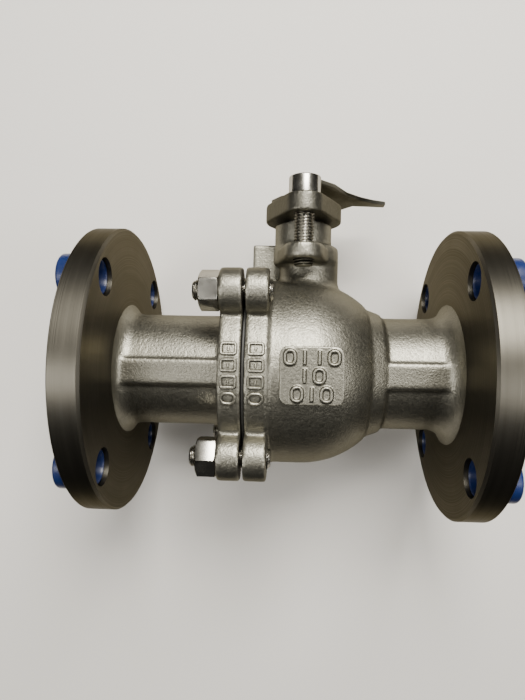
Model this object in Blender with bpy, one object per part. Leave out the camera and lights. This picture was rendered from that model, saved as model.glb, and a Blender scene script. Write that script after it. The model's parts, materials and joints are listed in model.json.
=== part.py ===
"""Two-piece floating ball valve with flanged ends, DN50, in metres with +Z up the stem.

The origin is the centre of the ball, where the pipe axis (X) crosses the stem axis (Z).
The end cap and its flange lie towards -X, the body and its flange towards +X.
Threads are left plain: each one is a rod in a hole with the seating gap between them.
"""

import math

import bmesh
import bpy
from mathutils import Matrix, Vector

MM = 0.001

# How finely round shapes are cut, and the small distances used everywhere.
BIG_ROUND = 36
MID_ROUND = 20
SMALL_ROUND = 16
GAP = 0.3 * MM            # between two pieces that touch on the real valve
SINK = 0.6 * MM           # how far one half of a joined shape runs into the other
MERGE = 0.001 * MM

# Pipe ends.
BORE_R = 25.0 * MM
FACE_TO_FACE = 200.0 * MM
STEM_SETBACK = 8.0 * MM   # the stem stands this far from mid-length, towards the body's end
PITCH_CIRCLE_R = 62.5 * MM
BOLT_HOLE_R = 9.0 * MM
BOLT_COUNT = 4
RIM_BEYOND_CIRCLE = 12.0 * MM
FLANGE_THICK = 14.0 * MM
RAISED_FACE_R = 50.0 * MM
RAISED_FACE_H = 2.0 * MM
FLANGE_BEVEL = 1.2 * MM
TUBE_WALL = 4.2 * MM
CAP_FLANGE_FILLET = 8.0 * MM
CAP_ROOT_FILLET = 3.0 * MM              # between the end cap's tube and its joint flange
BODY_FLANGE_FILLET = 11.0 * MM
RIB_WIDTH = 12.7 * MM
RIB_PROUD = 1.2 * MM

# Ball and seats.
BALL_WALL = 13.0 * MM
SEAT_STEP = 0.4 * MM      # the seat's hole is this much wider than the pipe bore, on the radius
SEAT_WIDTH = 7.1 * MM
SEAT_LIP = 1.5 * MM
SEAT_BACK = 2.8 * MM
SLOT_WIDTH = 10.4 * MM
SLOT_DEPTH = 8.0 * MM

# Body shell and the joint between body and end cap.
CAVITY_GAP = 2.0 * MM
BODY_WALL = 8.0 * MM
SHOULDER_RING_X = 8.0 * MM
SHOULDER_START = 6.0 * MM              # the bulb's curve ends this far outside the tube
SHOULDER_RING_TOP = 5.0 * MM           # high and low side of the ring, outside the tube
SHOULDER_RING_LOW = 2.0 * MM
SPIGOT_LENGTH = 4.7 * MM
SPIGOT_SETBACK = 1.0 * MM
JOINT_GAP = 1.8 * MM
JOINT_FLANGE_THICK = 10.7 * MM
JOINT_RIM = 1.5 * MM      # joint flange beyond the bulb
JOINT_BOLT_OFFSET = 7.15 * MM
JOINT_LOBE_R = 11.0 * MM
JOINT_BEVEL = 1.5 * MM
GASKET_LIP = 3.0 * MM     # the gasket stops this far inside the joint flange's rim

# Joint studs and nuts.
STUD_R = 5.0 * MM
STUD_BEYOND_NUT = 3.2 * MM
STUD_BEYOND_BODY = 1.7 * MM
NUT_ACROSS_FLATS = 17.0 * MM
NUT_THICK = 9.4 * MM
NUT_CHAMFER = 1.0 * MM
STUD_CHAMFER = 0.8 * MM
NUT_TURNS = (12.0, 30.0, 0.0, 5.0)     # degrees, one for each nut as it was tightened

# Stem, its seals and its gland.
STEM_R = 8.0 * MM
STEM_SHOULDER_R = 12.0 * MM
STEM_SHOULDER_H = 4.0 * MM
STEM_SHOULDER_LIFT = 1.5 * MM          # shoulder's underside above the ball
TONGUE_SETBACK = 3.0 * MM              # the tongue's ends inside the shoulder's rim
THRUST_WASHER_H = 1.5 * MM
NECK_FLOOR_H = 10.9 * MM
PACKING_WIDTH = 4.5 * MM
PACKING_RING_H = 3.8 * MM
PACKING_RINGS = 3
PACKING_BOX_WALL = 2.5 * MM
PACKING_BOX_H = 20.5 * MM
PACKING_BOX_CHAMFER = 1.0 * MM
GLAND_LIFT = 2.0 * MM
GLAND_FLANGE_H = 9.1 * MM
GLAND_FLANGE_WALL = 5.0 * MM           # gland flange beyond the packing box
GLAND_SCREW_R = 5.0 * MM
GLAND_SCREW_OFFSET = 8.0 * MM          # screw axis beyond the packing box
GLAND_SCREW_LENGTH = 35.0 * MM
GLAND_HEAD_R = 7.9 * MM
GLAND_HEAD_H = 8.8 * MM
GLAND_SOCKET_FLATS = 8.0 * MM
GLAND_SOCKET_DEPTH = 5.0 * MM
GLAND_SCREW_CHAMFER = 0.7 * MM
GLAND_FLANGE_BEVEL = 0.8 * MM
EAR_WALL = 5.0 * MM
STEM_TOP_H = 5.8 * MM
STEM_TOP_R = 7.2 * MM
STEM_FLATS = 9.4 * MM
PLATE_ABOVE_HEADS = 1.3 * MM
PLATE_H = 2.2 * MM

# Neck and collar of the body.
NECK_WALL_LEFT = 4.2 * MM              # outside the stem, on the end cap's side
NECK_WALL_RIGHT = 10.8 * MM
NECK_WALL_FRONT = 7.0 * MM
COLLAR_LIP = 0.6 * MM                  # collar beyond the packing box, on the end cap's side
COLLAR_H = 10.0 * MM
COLLAR_BEVEL = 2.5 * MM
NECK_POINTS = 24
NECK_PHASE = 7.5          # degrees that turn the outlines off the bulb's and the box's corners
COLLAR_PHASE = 6.0

# Cast stop lug behind the neck, and the marking pad in front of the bulb.
LUG_REACH = 1.2 * MM                   # beyond the body's joint face
LUG_END_X = -11.0 * MM
LUG_Y = (12.0 * MM, 20.0 * MM)
LUG_TOP = 22.0 * MM                    # above the bulb
LUG_OVERHANG = 4.0 * MM                # foot of the part that reaches over the joint
LUG_BEVEL = 1.0 * MM
PAD_X = (-10.3 * MM, 18.8 * MM)
PAD_Z = (-13.0 * MM, 13.7 * MM)
PAD_PROUD = 1.0 * MM
PAD_CORNER = 4.0 * MM

# Plastic end covers.
COVER_WALL = 1.8 * MM
COVER_SIDE_CLEAR = 1.2 * MM
COVER_FACE_CLEAR = 3.2 * MM
COVER_CROWN = 2.6 * MM
COVER_KNEE = 0.6          # where the dome's slope changes: a share of its radius and of its rise
COVER_KNEE_RISE = 0.7
COVER_ARM_WIDTH = 12.0 * MM
COVER_ARM_THICK = 2.5 * MM
COVER_BUTTON_R = 10.5 * MM
COVER_BUTTON_H = 6.0 * MM
PEG_PLAY = 0.4 * MM
PEG_WALL = 1.6 * MM
PEG_SETBACK = 2.0 * MM                 # the peg ends this far short of the flange's back

# Sizes that follow from the ones above.
FACE_IN_X = -(FACE_TO_FACE / 2 + STEM_SETBACK)
FACE_OUT_X = FACE_TO_FACE / 2 - STEM_SETBACK
FLANGE_R = PITCH_CIRCLE_R + RIM_BEYOND_CIRCLE
TUBE_R = BORE_R + TUBE_WALL
BALL_R = BORE_R + BALL_WALL
CAVITY_R = BALL_R + CAVITY_GAP
BULB_R = CAVITY_R + BODY_WALL
SEAT_IN_R = BORE_R + SEAT_STEP
SEAT_OUT_R = SEAT_IN_R + SEAT_WIDTH
SEAT_BOWL_R = BALL_R + GAP
SEAT_FRONT_X = math.sqrt(SEAT_BOWL_R ** 2 - (SEAT_OUT_R - SEAT_LIP) ** 2)
SEAT_BACK_X = math.sqrt(SEAT_BOWL_R ** 2 - SEAT_IN_R ** 2) + SEAT_BACK
POCKET_R = SEAT_OUT_R + GAP
POCKET_X = SEAT_BACK_X + GAP
SPIGOT_R = CAVITY_R - GAP
SPIGOT_X = -(SEAT_FRONT_X + SPIGOT_SETBACK)
CAP_FACE_X = SPIGOT_X - SPIGOT_LENGTH
CAP_BACK_X = CAP_FACE_X - JOINT_FLANGE_THICK
BODY_FACE_X = CAP_FACE_X + JOINT_GAP
BODY_BACK_X = BODY_FACE_X + JOINT_FLANGE_THICK
JOINT_R = BULB_R + JOINT_RIM
JOINT_BOLT_R = BULB_R + JOINT_BOLT_OFFSET
STUD_HOLE_R = STUD_R + GAP
SHOULDER_Z = BALL_R + STEM_SHOULDER_LIFT
WASHER_Z = SHOULDER_Z + STEM_SHOULDER_H + GAP
ROOF_Z = WASHER_Z + THRUST_WASHER_H + GAP
CHAMBER_Z = ROOF_Z + NECK_FLOOR_H
CHAMBER_R = STEM_R + PACKING_WIDTH
BOX_R = CHAMBER_R + PACKING_BOX_WALL
NECK_LEFT = STEM_R + NECK_WALL_LEFT
NECK_RIGHT = STEM_R + NECK_WALL_RIGHT
NECK_FRONT = STEM_R + NECK_WALL_FRONT
COLLAR_LEFT = BOX_R + COLLAR_LIP
BOX_TOP_Z = CHAMBER_Z + PACKING_BOX_H
GLAND_Z = BOX_TOP_Z + GLAND_LIFT
GLAND_TOP_Z = GLAND_Z + GLAND_FLANGE_H
GLAND_SCREW_Y = BOX_R + GLAND_SCREW_OFFSET
EAR_R = GLAND_SCREW_R + EAR_WALL
HEAD_Z = GLAND_TOP_Z + GAP
PLATE_Z = HEAD_Z + GLAND_HEAD_H + PLATE_ABOVE_HEADS
STEM_STEP_Z = PLATE_Z - GAP
STEM_TOP_Z = STEM_STEP_Z + STEM_TOP_H
BOLT_ANGLES = [math.radians(45 + 360 / BOLT_COUNT * i) for i in range(BOLT_COUNT)]


def make_material(name, colour, roughness, metallic):
    """One Principled material."""
    material = bpy.data.materials.new(name)
    material.use_nodes = True
    shader = material.node_tree.nodes["Principled BSDF"]
    shader.inputs["Base Color"].default_value = (*colour, 1)
    shader.inputs["Roughness"].default_value = roughness
    shader.inputs["Metallic"].default_value = metallic
    material.diffuse_color = (*colour, 1)
    return material


def arc(centre, radius, start, end, steps):
    """Points on an arc of an outline or a profile, its angles in degrees."""
    points = []
    for step in range(steps + 1):
        angle = math.radians(start + (end - start) * step / steps)
        points.append((centre[0] + radius * math.cos(angle), centre[1] + radius * math.sin(angle)))
    return points


def round_about(radius, count):
    """Centres of a ring of holes or studs, as (y, z)."""
    angles = [math.radians(45 + 360 / count * i) for i in range(count)]
    return [(radius * math.cos(angle), radius * math.sin(angle)) for angle in angles]


def to_object(name, mesh_bm, material=None):
    """Turn a bmesh into an object whose faces point outwards."""
    bmesh.ops.recalc_face_normals(mesh_bm, faces=mesh_bm.faces)
    mesh = bpy.data.meshes.new(name)
    mesh_bm.to_mesh(mesh)
    mesh_bm.free()
    obj = bpy.data.objects.new(name, mesh)
    bpy.context.scene.collection.objects.link(obj)
    if material:
        mesh.materials.append(material)
    return obj


def turned(name, profile, axis="X", segments=BIG_ROUND, material=None):
    """Spin a closed profile of (place along the axis, radius) points about X or Z."""
    bm = bmesh.new()
    verts = []
    for along, radius in profile:
        place = (along, 0, radius) if axis == "X" else (radius, 0, along)
        verts.append(bm.verts.new(place))
    edges = []
    for first, second in zip(verts, verts[1:] + verts[:1]):
        radii = [first.co.z, second.co.z] if axis == "X" else [first.co.x, second.co.x]
        if max(radii) > 0:
            edges.append(bm.edges.new((first, second)))
    direction = (1, 0, 0) if axis == "X" else (0, 0, 1)
    bmesh.ops.spin(bm, geom=verts + edges, cent=(0, 0, 0), axis=direction, dvec=(0, 0, 0),
                   angle=math.tau, steps=segments, use_merge=True, use_duplicate=False)
    bmesh.ops.remove_doubles(bm, verts=bm.verts, dist=MERGE)
    return to_object(name, bm, material)


def extruded(name, outline, low, high, axis="Z", bevel=0.0, bevel_steps=1, material=None):
    """Extrude an outline along Z, as (x, y), or along X, as (y, z), and bevel both its rims."""
    bm = bmesh.new()
    if axis == "Z":
        verts = [bm.verts.new((a, b, low)) for a, b in outline]
        shift = Vector((0, 0, high - low))
    else:
        verts = [bm.verts.new((low, a, b)) for a, b in outline]
        shift = Vector((high - low, 0, 0))
    base = bm.faces.new(verts)
    grown = bmesh.ops.extrude_face_region(bm, geom=[base])
    top = [item for item in grown["geom"] if isinstance(item, bmesh.types.BMVert)]
    bmesh.ops.translate(bm, verts=top, vec=shift)
    bmesh.ops.recalc_face_normals(bm, faces=bm.faces)
    if bevel:
        caps = [face for face in bm.faces if len(face.verts) == len(outline)]
        rims = [edge for face in caps for edge in face.edges]
        bmesh.ops.bevel(bm, geom=rims, offset=bevel, segments=bevel_steps, profile=0.5, affect="EDGES")
    return to_object(name, bm, material)


def block(name, low, high, bevel=0.0):
    """A box between two corners, with bevelled edges."""
    bm = bmesh.new()
    bmesh.ops.create_cube(bm, size=1)
    size = Vector(high) - Vector(low)
    centre = (Vector(high) + Vector(low)) / 2
    bmesh.ops.transform(bm, matrix=Matrix.Translation(centre) @ Matrix.Diagonal((*size, 1)), verts=bm.verts)
    if bevel:
        bmesh.ops.bevel(bm, geom=bm.edges[:], offset=bevel, segments=1, profile=0.5, affect="EDGES")
    return to_object(name, bm)


def rod(name, radius, low, high, axis="Z", centre=(0, 0), chamfer=0.0, segments=SMALL_ROUND):
    """A round bar with optional chamfers, moved off its axis to a centre."""
    profile = [(low, 0), (low, radius - chamfer), (low + chamfer, radius),
               (high - chamfer, radius), (high, radius - chamfer), (high, 0)]
    if not chamfer:
        profile = [(low, 0), (low, radius), (high, radius), (high, 0)]
    obj = turned(name, profile, axis, segments)
    shift = (0, *centre) if axis == "X" else (*centre, 0)
    obj.data.transform(Matrix.Translation(shift))
    return obj


def ring(name, inner, outer, low, high, axis, material, segments=BIG_ROUND):
    """A plain square-cut ring."""
    profile = [(low, inner), (low, outer), (high, outer), (high, inner)]
    return turned(name, profile, axis, segments, material)


def hexagon(across_flats, turn=0.0):
    """Corners of a hexagon."""
    radius = across_flats / 2 / math.cos(math.radians(30))
    angles = [math.radians(60 * i + turn) for i in range(6)]
    return [(radius * math.cos(angle), radius * math.sin(angle)) for angle in angles]


def combine(obj, tool, operation):
    """Join a solid with another one, or cut it, and use the other one up."""
    modifier = obj.modifiers.new(operation.title(), "BOOLEAN")
    modifier.operation = operation
    modifier.solver = "EXACT"
    modifier.object = tool
    bpy.context.view_layer.update()
    evaluated = obj.evaluated_get(bpy.context.evaluated_depsgraph_get())
    mesh = bpy.data.meshes.new_from_object(evaluated)
    mesh.name = obj.name
    obj.modifiers.clear()
    obj.data = mesh
    bpy.data.objects.remove(tool)


def join(obj, *tools):
    for tool in tools:
        combine(obj, tool, "UNION")


def cut(obj, *tools):
    for tool in tools:
        combine(obj, tool, "DIFFERENCE")


def lozenge(middle_r, ear_r, ear_offset, steps=5):
    """Outline of a round middle with an ear each way along Y, joined by tangent lines."""
    lean = math.degrees(math.acos((middle_r - ear_r) / ear_offset))
    right = arc((0, 0), middle_r, -(90 - lean), 90 - lean, steps)
    back = arc((0, ear_offset), ear_r, 90 - lean, 90 + lean, 2 * steps)
    left = arc((0, 0), middle_r, 90 + lean, 270 - lean, steps)
    front = arc((0, -ear_offset), ear_r, 270 - lean, 270 + lean, 2 * steps)
    return right + back + left + front


def joint_outline():
    """Outline of a joint flange: a disc with a round lobe at each stud, as (y, z)."""
    lobe_turn = math.degrees(math.acos(
        (JOINT_BOLT_R ** 2 + JOINT_LOBE_R ** 2 - JOINT_R ** 2) / (2 * JOINT_BOLT_R * JOINT_LOBE_R)))
    disc_turn = math.degrees(math.acos(
        (JOINT_BOLT_R ** 2 + JOINT_R ** 2 - JOINT_LOBE_R ** 2) / (2 * JOINT_BOLT_R * JOINT_R)))
    outline = []
    for stud, centre in enumerate(round_about(JOINT_BOLT_R, 4)):
        angle = 45 + 90 * stud
        outline += arc(centre, JOINT_LOBE_R, angle - 180 + lobe_turn, angle + 180 - lobe_turn, 8)
        outline += arc((0, 0), JOINT_R, angle + disc_turn, angle + 90 - disc_turn, 6)[1:-1]
    return outline


def flange_profile(face_x, outwards, fillet):
    """Profile of a pipe flange from its raised face in to the tube, outwards being -1 or 1."""
    step_x = face_x - outwards * RAISED_FACE_H
    back_x = step_x - outwards * FLANGE_THICK
    points = [(face_x, 0), (face_x, RAISED_FACE_R), (step_x, RAISED_FACE_R), (step_x, FLANGE_R)]
    points += [(back_x + outwards * FLANGE_BEVEL, FLANGE_R), (back_x, FLANGE_R - FLANGE_BEVEL)]
    centre = (back_x - outwards * fillet, TUBE_R + fillet)
    start, end = (180, 270) if outwards < 0 else (0, -90)
    return points + arc(centre, fillet, start, end, 3)


def add_ribs(obj, low_x, high_x):
    """Flat ribs along the front and back of a tube, standing proud of it."""
    half = RIB_WIDTH / 2
    reach = TUBE_R + RIB_PROUD
    inside = (BORE_R + TUBE_R) / 2
    join(obj, block("rib", (low_x, -reach, -half), (high_x, -inside, half)),
         block("rib", (low_x, inside, -half), (high_x, reach, half)))


def drill_flange(obj, face_x, outwards):
    """Bolt holes of a pipe flange."""
    far_x = face_x - outwards * (RAISED_FACE_H + FLANGE_THICK + SINK)
    low, high = sorted((face_x, far_x))
    for centre in round_about(PITCH_CIRCLE_R, BOLT_COUNT):
        cut(obj, rod("drill", BOLT_HOLE_R, low, high, "X", centre, segments=MID_ROUND))


def drill_joint(obj, low_x, high_x):
    """Stud holes of a joint flange."""
    for centre in round_about(JOINT_BOLT_R, 4):
        cut(obj, rod("drill", STUD_HOLE_R, low_x - SINK, high_x + SINK, "X", centre))


def make_end_cap(steel):
    """End cap: pipe flange, tube, joint flange and the spigot that holds the seat."""
    profile = flange_profile(FACE_IN_X, -1, CAP_FLANGE_FILLET)
    root_r = TUBE_R + CAP_ROOT_FILLET
    profile += arc((CAP_BACK_X - CAP_ROOT_FILLET, root_r), CAP_ROOT_FILLET, 270, 350, 2)
    profile += [(CAP_BACK_X + SINK, root_r), (CAP_BACK_X + SINK + JOINT_BEVEL, SPIGOT_R)]
    profile += [(SPIGOT_X - SINK, SPIGOT_R), (SPIGOT_X, SPIGOT_R - SINK), (SPIGOT_X, 0)]
    cap = turned("end_cap", profile, material=steel)
    join(cap, extruded("flange", joint_outline(), CAP_BACK_X, CAP_FACE_X, "X", JOINT_BEVEL))
    add_ribs(cap, FACE_IN_X + RAISED_FACE_H + FLANGE_THICK / 2, CAP_BACK_X + SINK)
    bore = [(FACE_IN_X - SINK, 0), (FACE_IN_X - SINK, BORE_R), (-POCKET_X, BORE_R), (-POCKET_X, POCKET_R),
            (SPIGOT_X + SINK, POCKET_R), (SPIGOT_X + SINK, 0)]
    cut(cap, turned("bore", bore))
    drill_flange(cap, FACE_IN_X, -1)
    drill_joint(cap, CAP_BACK_X, CAP_FACE_X)
    return cap


def neck_outline():
    """Outline of the lower neck: two half ellipses, wider towards the body's end."""
    points = []
    for x, y in arc((0, 0), 1, NECK_PHASE, NECK_PHASE + 360, NECK_POINTS)[:-1]:
        points.append((x * (NECK_RIGHT if x > 0 else NECK_LEFT), y * NECK_FRONT))
    return points


def pad_outline():
    """Outline of the marking pad in x and z, with round corners."""
    points = []
    corners = [(PAD_X[1], PAD_Z[1], -1, -1), (PAD_X[0], PAD_Z[1], 1, -1),
               (PAD_X[0], PAD_Z[0], 1, 1), (PAD_X[1], PAD_Z[0], -1, 1)]
    for corner, (x, z, step_x, step_z) in enumerate(corners):
        centre = (x + step_x * PAD_CORNER, z + step_z * PAD_CORNER)
        points += arc(centre, PAD_CORNER, 90 * corner, 90 * corner + 90, 3)
    return points


def make_pad():
    """Flat marking pad that stands out of the bulb's front."""
    pad = extruded("pad", pad_outline(), CAVITY_R + BODY_WALL / 2, BULB_R + PAD_PROUD)
    pad.data.transform(Matrix.Rotation(math.radians(90), 4, "X"))
    return pad


def make_neck(body):
    """Neck, collar with its two ears, and packing box, joined to the bulb."""
    foot = CAVITY_R + BODY_WALL / 4
    join(body, extruded("neck", neck_outline(), foot, CHAMBER_Z + SINK))
    shift = (NECK_RIGHT - COLLAR_LEFT) / 2
    collar_r = (NECK_RIGHT + COLLAR_LEFT) / 2
    middle = arc((shift, 0), collar_r, COLLAR_PHASE, COLLAR_PHASE + 360, NECK_POINTS)[:-1]
    collar = extruded("collar", middle, CHAMBER_Z - SINK, CHAMBER_Z + COLLAR_H, bevel=COLLAR_BEVEL)
    ears = lozenge(BOX_R, EAR_R, GLAND_SCREW_Y)
    join(body, collar, extruded("ears", ears, CHAMBER_Z, CHAMBER_Z + COLLAR_H - COLLAR_BEVEL))
    join(body, rod("box", BOX_R, CHAMBER_Z + SINK, BOX_TOP_Z, chamfer=PACKING_BOX_CHAMFER,
                   segments=MID_ROUND))


def bore_neck(body):
    """Stem recess, stem hole, packing chamber and the two tapped ear holes."""
    cut(body, rod("recess", STEM_SHOULDER_R + GAP, BALL_R - SLOT_DEPTH, ROOF_Z, segments=MID_ROUND),
        rod("hole", STEM_R + GAP, ROOF_Z - SINK, CHAMBER_Z + SINK, segments=MID_ROUND),
        rod("chamber", CHAMBER_R, CHAMBER_Z, BOX_TOP_Z + SINK, segments=MID_ROUND))
    for side in (-1, 1):
        cut(body, rod("tap", GLAND_SCREW_R + GAP, CHAMBER_Z - 2 * SINK, CHAMBER_Z + COLLAR_H,
                      centre=(0, side * GLAND_SCREW_Y)))


def make_lug(body):
    """Cast stop lug behind the neck, its upper part reaching over the joint."""
    top = BULB_R + LUG_TOP
    clear_x = BODY_FACE_X + SINK
    foot = block("lug", (clear_x, LUG_Y[0], CAVITY_R), (LUG_END_X, LUG_Y[1], top), LUG_BEVEL)
    reach_low = (BODY_FACE_X - LUG_REACH, LUG_Y[0], BULB_R + LUG_OVERHANG)
    join(foot, block("reach", reach_low, (clear_x + LUG_OVERHANG, LUG_Y[1], top), LUG_BEVEL))
    join(body, foot)


def make_body(steel):
    """Body: joint flange, bulb, tube, pipe flange, neck, lug and marking pad."""
    ring_x = math.sqrt(BULB_R ** 2 - (TUBE_R + SHOULDER_START) ** 2)
    ring_angle = math.degrees(math.acos(ring_x / BULB_R))
    profile = flange_profile(FACE_OUT_X, 1, BODY_FLANGE_FILLET)
    ring_end_x = ring_x + SHOULDER_RING_X
    profile += [(ring_end_x + SINK, TUBE_R), (ring_end_x, TUBE_R + SHOULDER_RING_LOW),
                (ring_x, TUBE_R + SHOULDER_RING_TOP)]
    profile += arc((0, 0), BULB_R, ring_angle, 90, 6)
    profile += [(BODY_FACE_X + SINK, BULB_R), (BODY_FACE_X + SINK, 0)]
    body = turned("body_casting", profile, material=steel)
    join(body, extruded("flange", joint_outline(), BODY_FACE_X, BODY_BACK_X, "X", JOINT_BEVEL), make_pad())
    add_ribs(body, ring_x, FACE_OUT_X - RAISED_FACE_H - FLANGE_THICK / 2)
    make_neck(body)
    make_lug(body)
    pocket_angle = math.degrees(math.asin(POCKET_R / CAVITY_R))
    cavity = [(BODY_FACE_X - SINK, 0), (BODY_FACE_X - SINK, CAVITY_R)]
    cavity += arc((0, 0), CAVITY_R, 90, pocket_angle, 3)
    cavity += [(POCKET_X, POCKET_R), (POCKET_X, BORE_R), (FACE_OUT_X + SINK, BORE_R), (FACE_OUT_X + SINK, 0)]
    cut(body, turned("cavity", cavity))
    bore_neck(body)
    drill_flange(body, FACE_OUT_X, 1)
    drill_joint(body, BODY_FACE_X, BODY_BACK_X)
    return body


def make_ball(steel):
    """Ball with its through bore and the slot that takes the stem's tongue."""
    bore_angle = math.degrees(math.asin(BORE_R / BALL_R))
    ball = turned("ball", arc((0, 0), BALL_R, bore_angle, 180 - bore_angle, 12), material=steel)
    half = SLOT_WIDTH / 2
    cut(ball, block("slot", (-half, -BALL_R, BALL_R - SLOT_DEPTH), (half, BALL_R, BALL_R + SINK)))
    return ball


def make_seat(name, side, white):
    """Seat ring with a bowl that the ball lies in, side being -1 or 1."""
    lip_angle = math.degrees(math.asin((SEAT_OUT_R - SEAT_LIP) / SEAT_BOWL_R))
    bore_angle = math.degrees(math.asin(SEAT_IN_R / SEAT_BOWL_R))
    profile = arc((0, 0), SEAT_BOWL_R, lip_angle, bore_angle, 3)
    profile += [(SEAT_BACK_X, SEAT_IN_R), (SEAT_BACK_X, SEAT_OUT_R), (SEAT_FRONT_X, SEAT_OUT_R)]
    return turned(name, [(side * along, radius) for along, radius in profile], material=white)


def make_stem(steel):
    """Stem: tongue, shoulder, shaft and the flatted top that takes the stop plate."""
    shaft_z = SHOULDER_Z + STEM_SHOULDER_H
    profile = [(SHOULDER_Z, 0), (SHOULDER_Z, STEM_SHOULDER_R), (shaft_z, STEM_SHOULDER_R),
               (shaft_z, STEM_R), (STEM_STEP_Z, STEM_R), (STEM_STEP_Z, STEM_TOP_R),
               (STEM_TOP_Z - SINK, STEM_TOP_R), (STEM_TOP_Z, STEM_TOP_R - SINK), (STEM_TOP_Z, 0)]
    stem = turned("stem", profile, "Z", MID_ROUND, steel)
    half = SLOT_WIDTH / 2 - GAP
    foot = BALL_R - SLOT_DEPTH + GAP
    reach = STEM_SHOULDER_R - TONGUE_SETBACK
    join(stem, block("tongue", (-half, -reach, foot), (half, reach, SHOULDER_Z + SINK)))
    for side in (-1, 1):
        near, far = sorted((side * STEM_FLATS / 2, side * STEM_R * 2))
        cut(stem, block("flat", (near, -STEM_R * 2, STEM_STEP_Z), (far, STEM_R * 2, STEM_TOP_Z + SINK)))
    return stem


def make_stop_plate(steel):
    """Sheared stop plate: a hub on the stem's flats with a long and a short horn behind it."""
    outline_mm = [(7.2, -10.0), (16.6, -0.3), (25.0, 15.4), (33.0, 24.0), (41.0, 30.0), (49.0, 34.0),
                  (49.0, 40.0), (30.0, 37.4), (24.4, 45.8), (8.0, 36.0), (-6.0, 33.0), (-17.9, 34.8),
                  (-18.7, 31.6), (-13.3, 22.8), (-8.8, 18.8), (-7.2, 9.4), (-7.2, -10.0)]
    plate = extruded("stop_plate", [(x * MM, y * MM) for x, y in outline_mm], PLATE_Z, PLATE_Z + PLATE_H,
                     material=steel)
    half = STEM_FLATS / 2 + GAP
    reach = STEM_TOP_R + GAP
    cut(plate, block("hole", (-half, -reach, PLATE_Z - SINK), (half, reach, PLATE_Z + PLATE_H + SINK)))
    return plate


def make_gland_flange(steel):
    """Gland flange that the two screws pull down on the packing."""
    outline = lozenge(BOX_R + GLAND_FLANGE_WALL, EAR_R, GLAND_SCREW_Y, 6)
    gland = extruded("gland_flange", outline, GLAND_Z, GLAND_TOP_Z, bevel=GLAND_FLANGE_BEVEL,
                     material=steel)
    cut(gland, rod("hole", STEM_R + 2 * GAP, GLAND_Z - SINK, GLAND_TOP_Z + SINK, segments=MID_ROUND))
    for side in (-1, 1):
        cut(gland, rod("hole", GLAND_SCREW_R + GAP, GLAND_Z - SINK, GLAND_TOP_Z + SINK,
                       centre=(0, side * GLAND_SCREW_Y)))
    return gland


def make_gland_screw(steel):
    """Socket-head cap screw, its origin under its head."""
    chamfer = GLAND_SCREW_CHAMFER
    tip = -GLAND_SCREW_LENGTH
    profile = [(tip, 0), (tip, GLAND_SCREW_R - chamfer), (tip + chamfer, GLAND_SCREW_R),
               (0, GLAND_SCREW_R), (0, GLAND_HEAD_R), (GLAND_HEAD_H - chamfer, GLAND_HEAD_R),
               (GLAND_HEAD_H, GLAND_HEAD_R - chamfer), (GLAND_HEAD_H, 0)]
    screw = turned("gland_screw_front", profile, "Z", SMALL_ROUND, steel)
    floor = GLAND_HEAD_H - GLAND_SOCKET_DEPTH
    cut(screw, extruded("socket", hexagon(GLAND_SOCKET_FLATS), floor, GLAND_HEAD_H + SINK))
    return screw


def make_nut(steel):
    """Plain hexagon nut along X, its origin on its seat, reaching towards -X."""
    nut = extruded("joint_nut_1", hexagon(NUT_ACROSS_FLATS), -NUT_THICK, 0, "X", material=steel)
    corner_r = NUT_ACROSS_FLATS / 2 / math.cos(math.radians(30))
    dome = rod("dome", corner_r + SINK, -NUT_THICK, 0, "X", chamfer=NUT_CHAMFER + SINK, segments=MID_ROUND)
    combine(nut, dome, "INTERSECT")
    cut(nut, rod("hole", STUD_HOLE_R, -NUT_THICK - SINK, SINK, "X"))
    return nut


def copy_of(obj, name, location, turn=None):
    """Another object with the same mesh, moved and turned."""
    twin = bpy.data.objects.new(name, obj.data)
    bpy.context.scene.collection.objects.link(twin)
    twin.location = location
    if turn:
        twin.rotation_euler = turn
    return twin


def make_joint_bolting(stud_steel, nut_steel):
    """Four studs through the joint flanges, each with a nut on the end cap's side."""
    nut_x = CAP_BACK_X - GAP
    length = BODY_BACK_X + STUD_BEYOND_BODY - (nut_x - NUT_THICK - STUD_BEYOND_NUT)
    stud = rod("joint_stud_1", STUD_R, -length, 0, "X", chamfer=STUD_CHAMFER)
    stud.data.materials.append(stud_steel)
    nut = make_nut(nut_steel)
    for number, (y, z) in enumerate(round_about(JOINT_BOLT_R, 4), 1):
        stud_place = (BODY_BACK_X + STUD_BEYOND_BODY, y, z)
        nut_place = (nut_x, y, z)
        turn = (math.radians(NUT_TURNS[number - 1]), 0, 0)
        if number == 1:
            stud.location = stud_place
            nut.location = nut_place
            nut.rotation_euler = turn
        else:
            copy_of(stud, f"joint_stud_{number}", stud_place)
            copy_of(nut, f"joint_nut_{number}", nut_place, turn)


def cover_dome():
    """Shallow domed disc with a skirt that stands on the flange outside its raised face."""
    skirt_in = RAISED_FACE_R + COVER_SIDE_CLEAR
    skirt_out = skirt_in + COVER_WALL
    edge = RAISED_FACE_H + COVER_FACE_CLEAR
    shoulder = skirt_in - COVER_WALL
    middle = skirt_in * COVER_KNEE
    rise = COVER_CROWN * COVER_KNEE_RISE
    profile = [(GAP, skirt_in), (GAP, skirt_out), (edge, skirt_out), (edge + COVER_WALL, shoulder),
               (edge + COVER_WALL + rise, middle), (edge + COVER_WALL + COVER_CROWN, 0),
               (edge + COVER_CROWN, 0), (edge + rise, middle), (edge, shoulder),
               (edge - COVER_WALL, skirt_in)]
    return turned("outlet_cover", profile)


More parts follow.
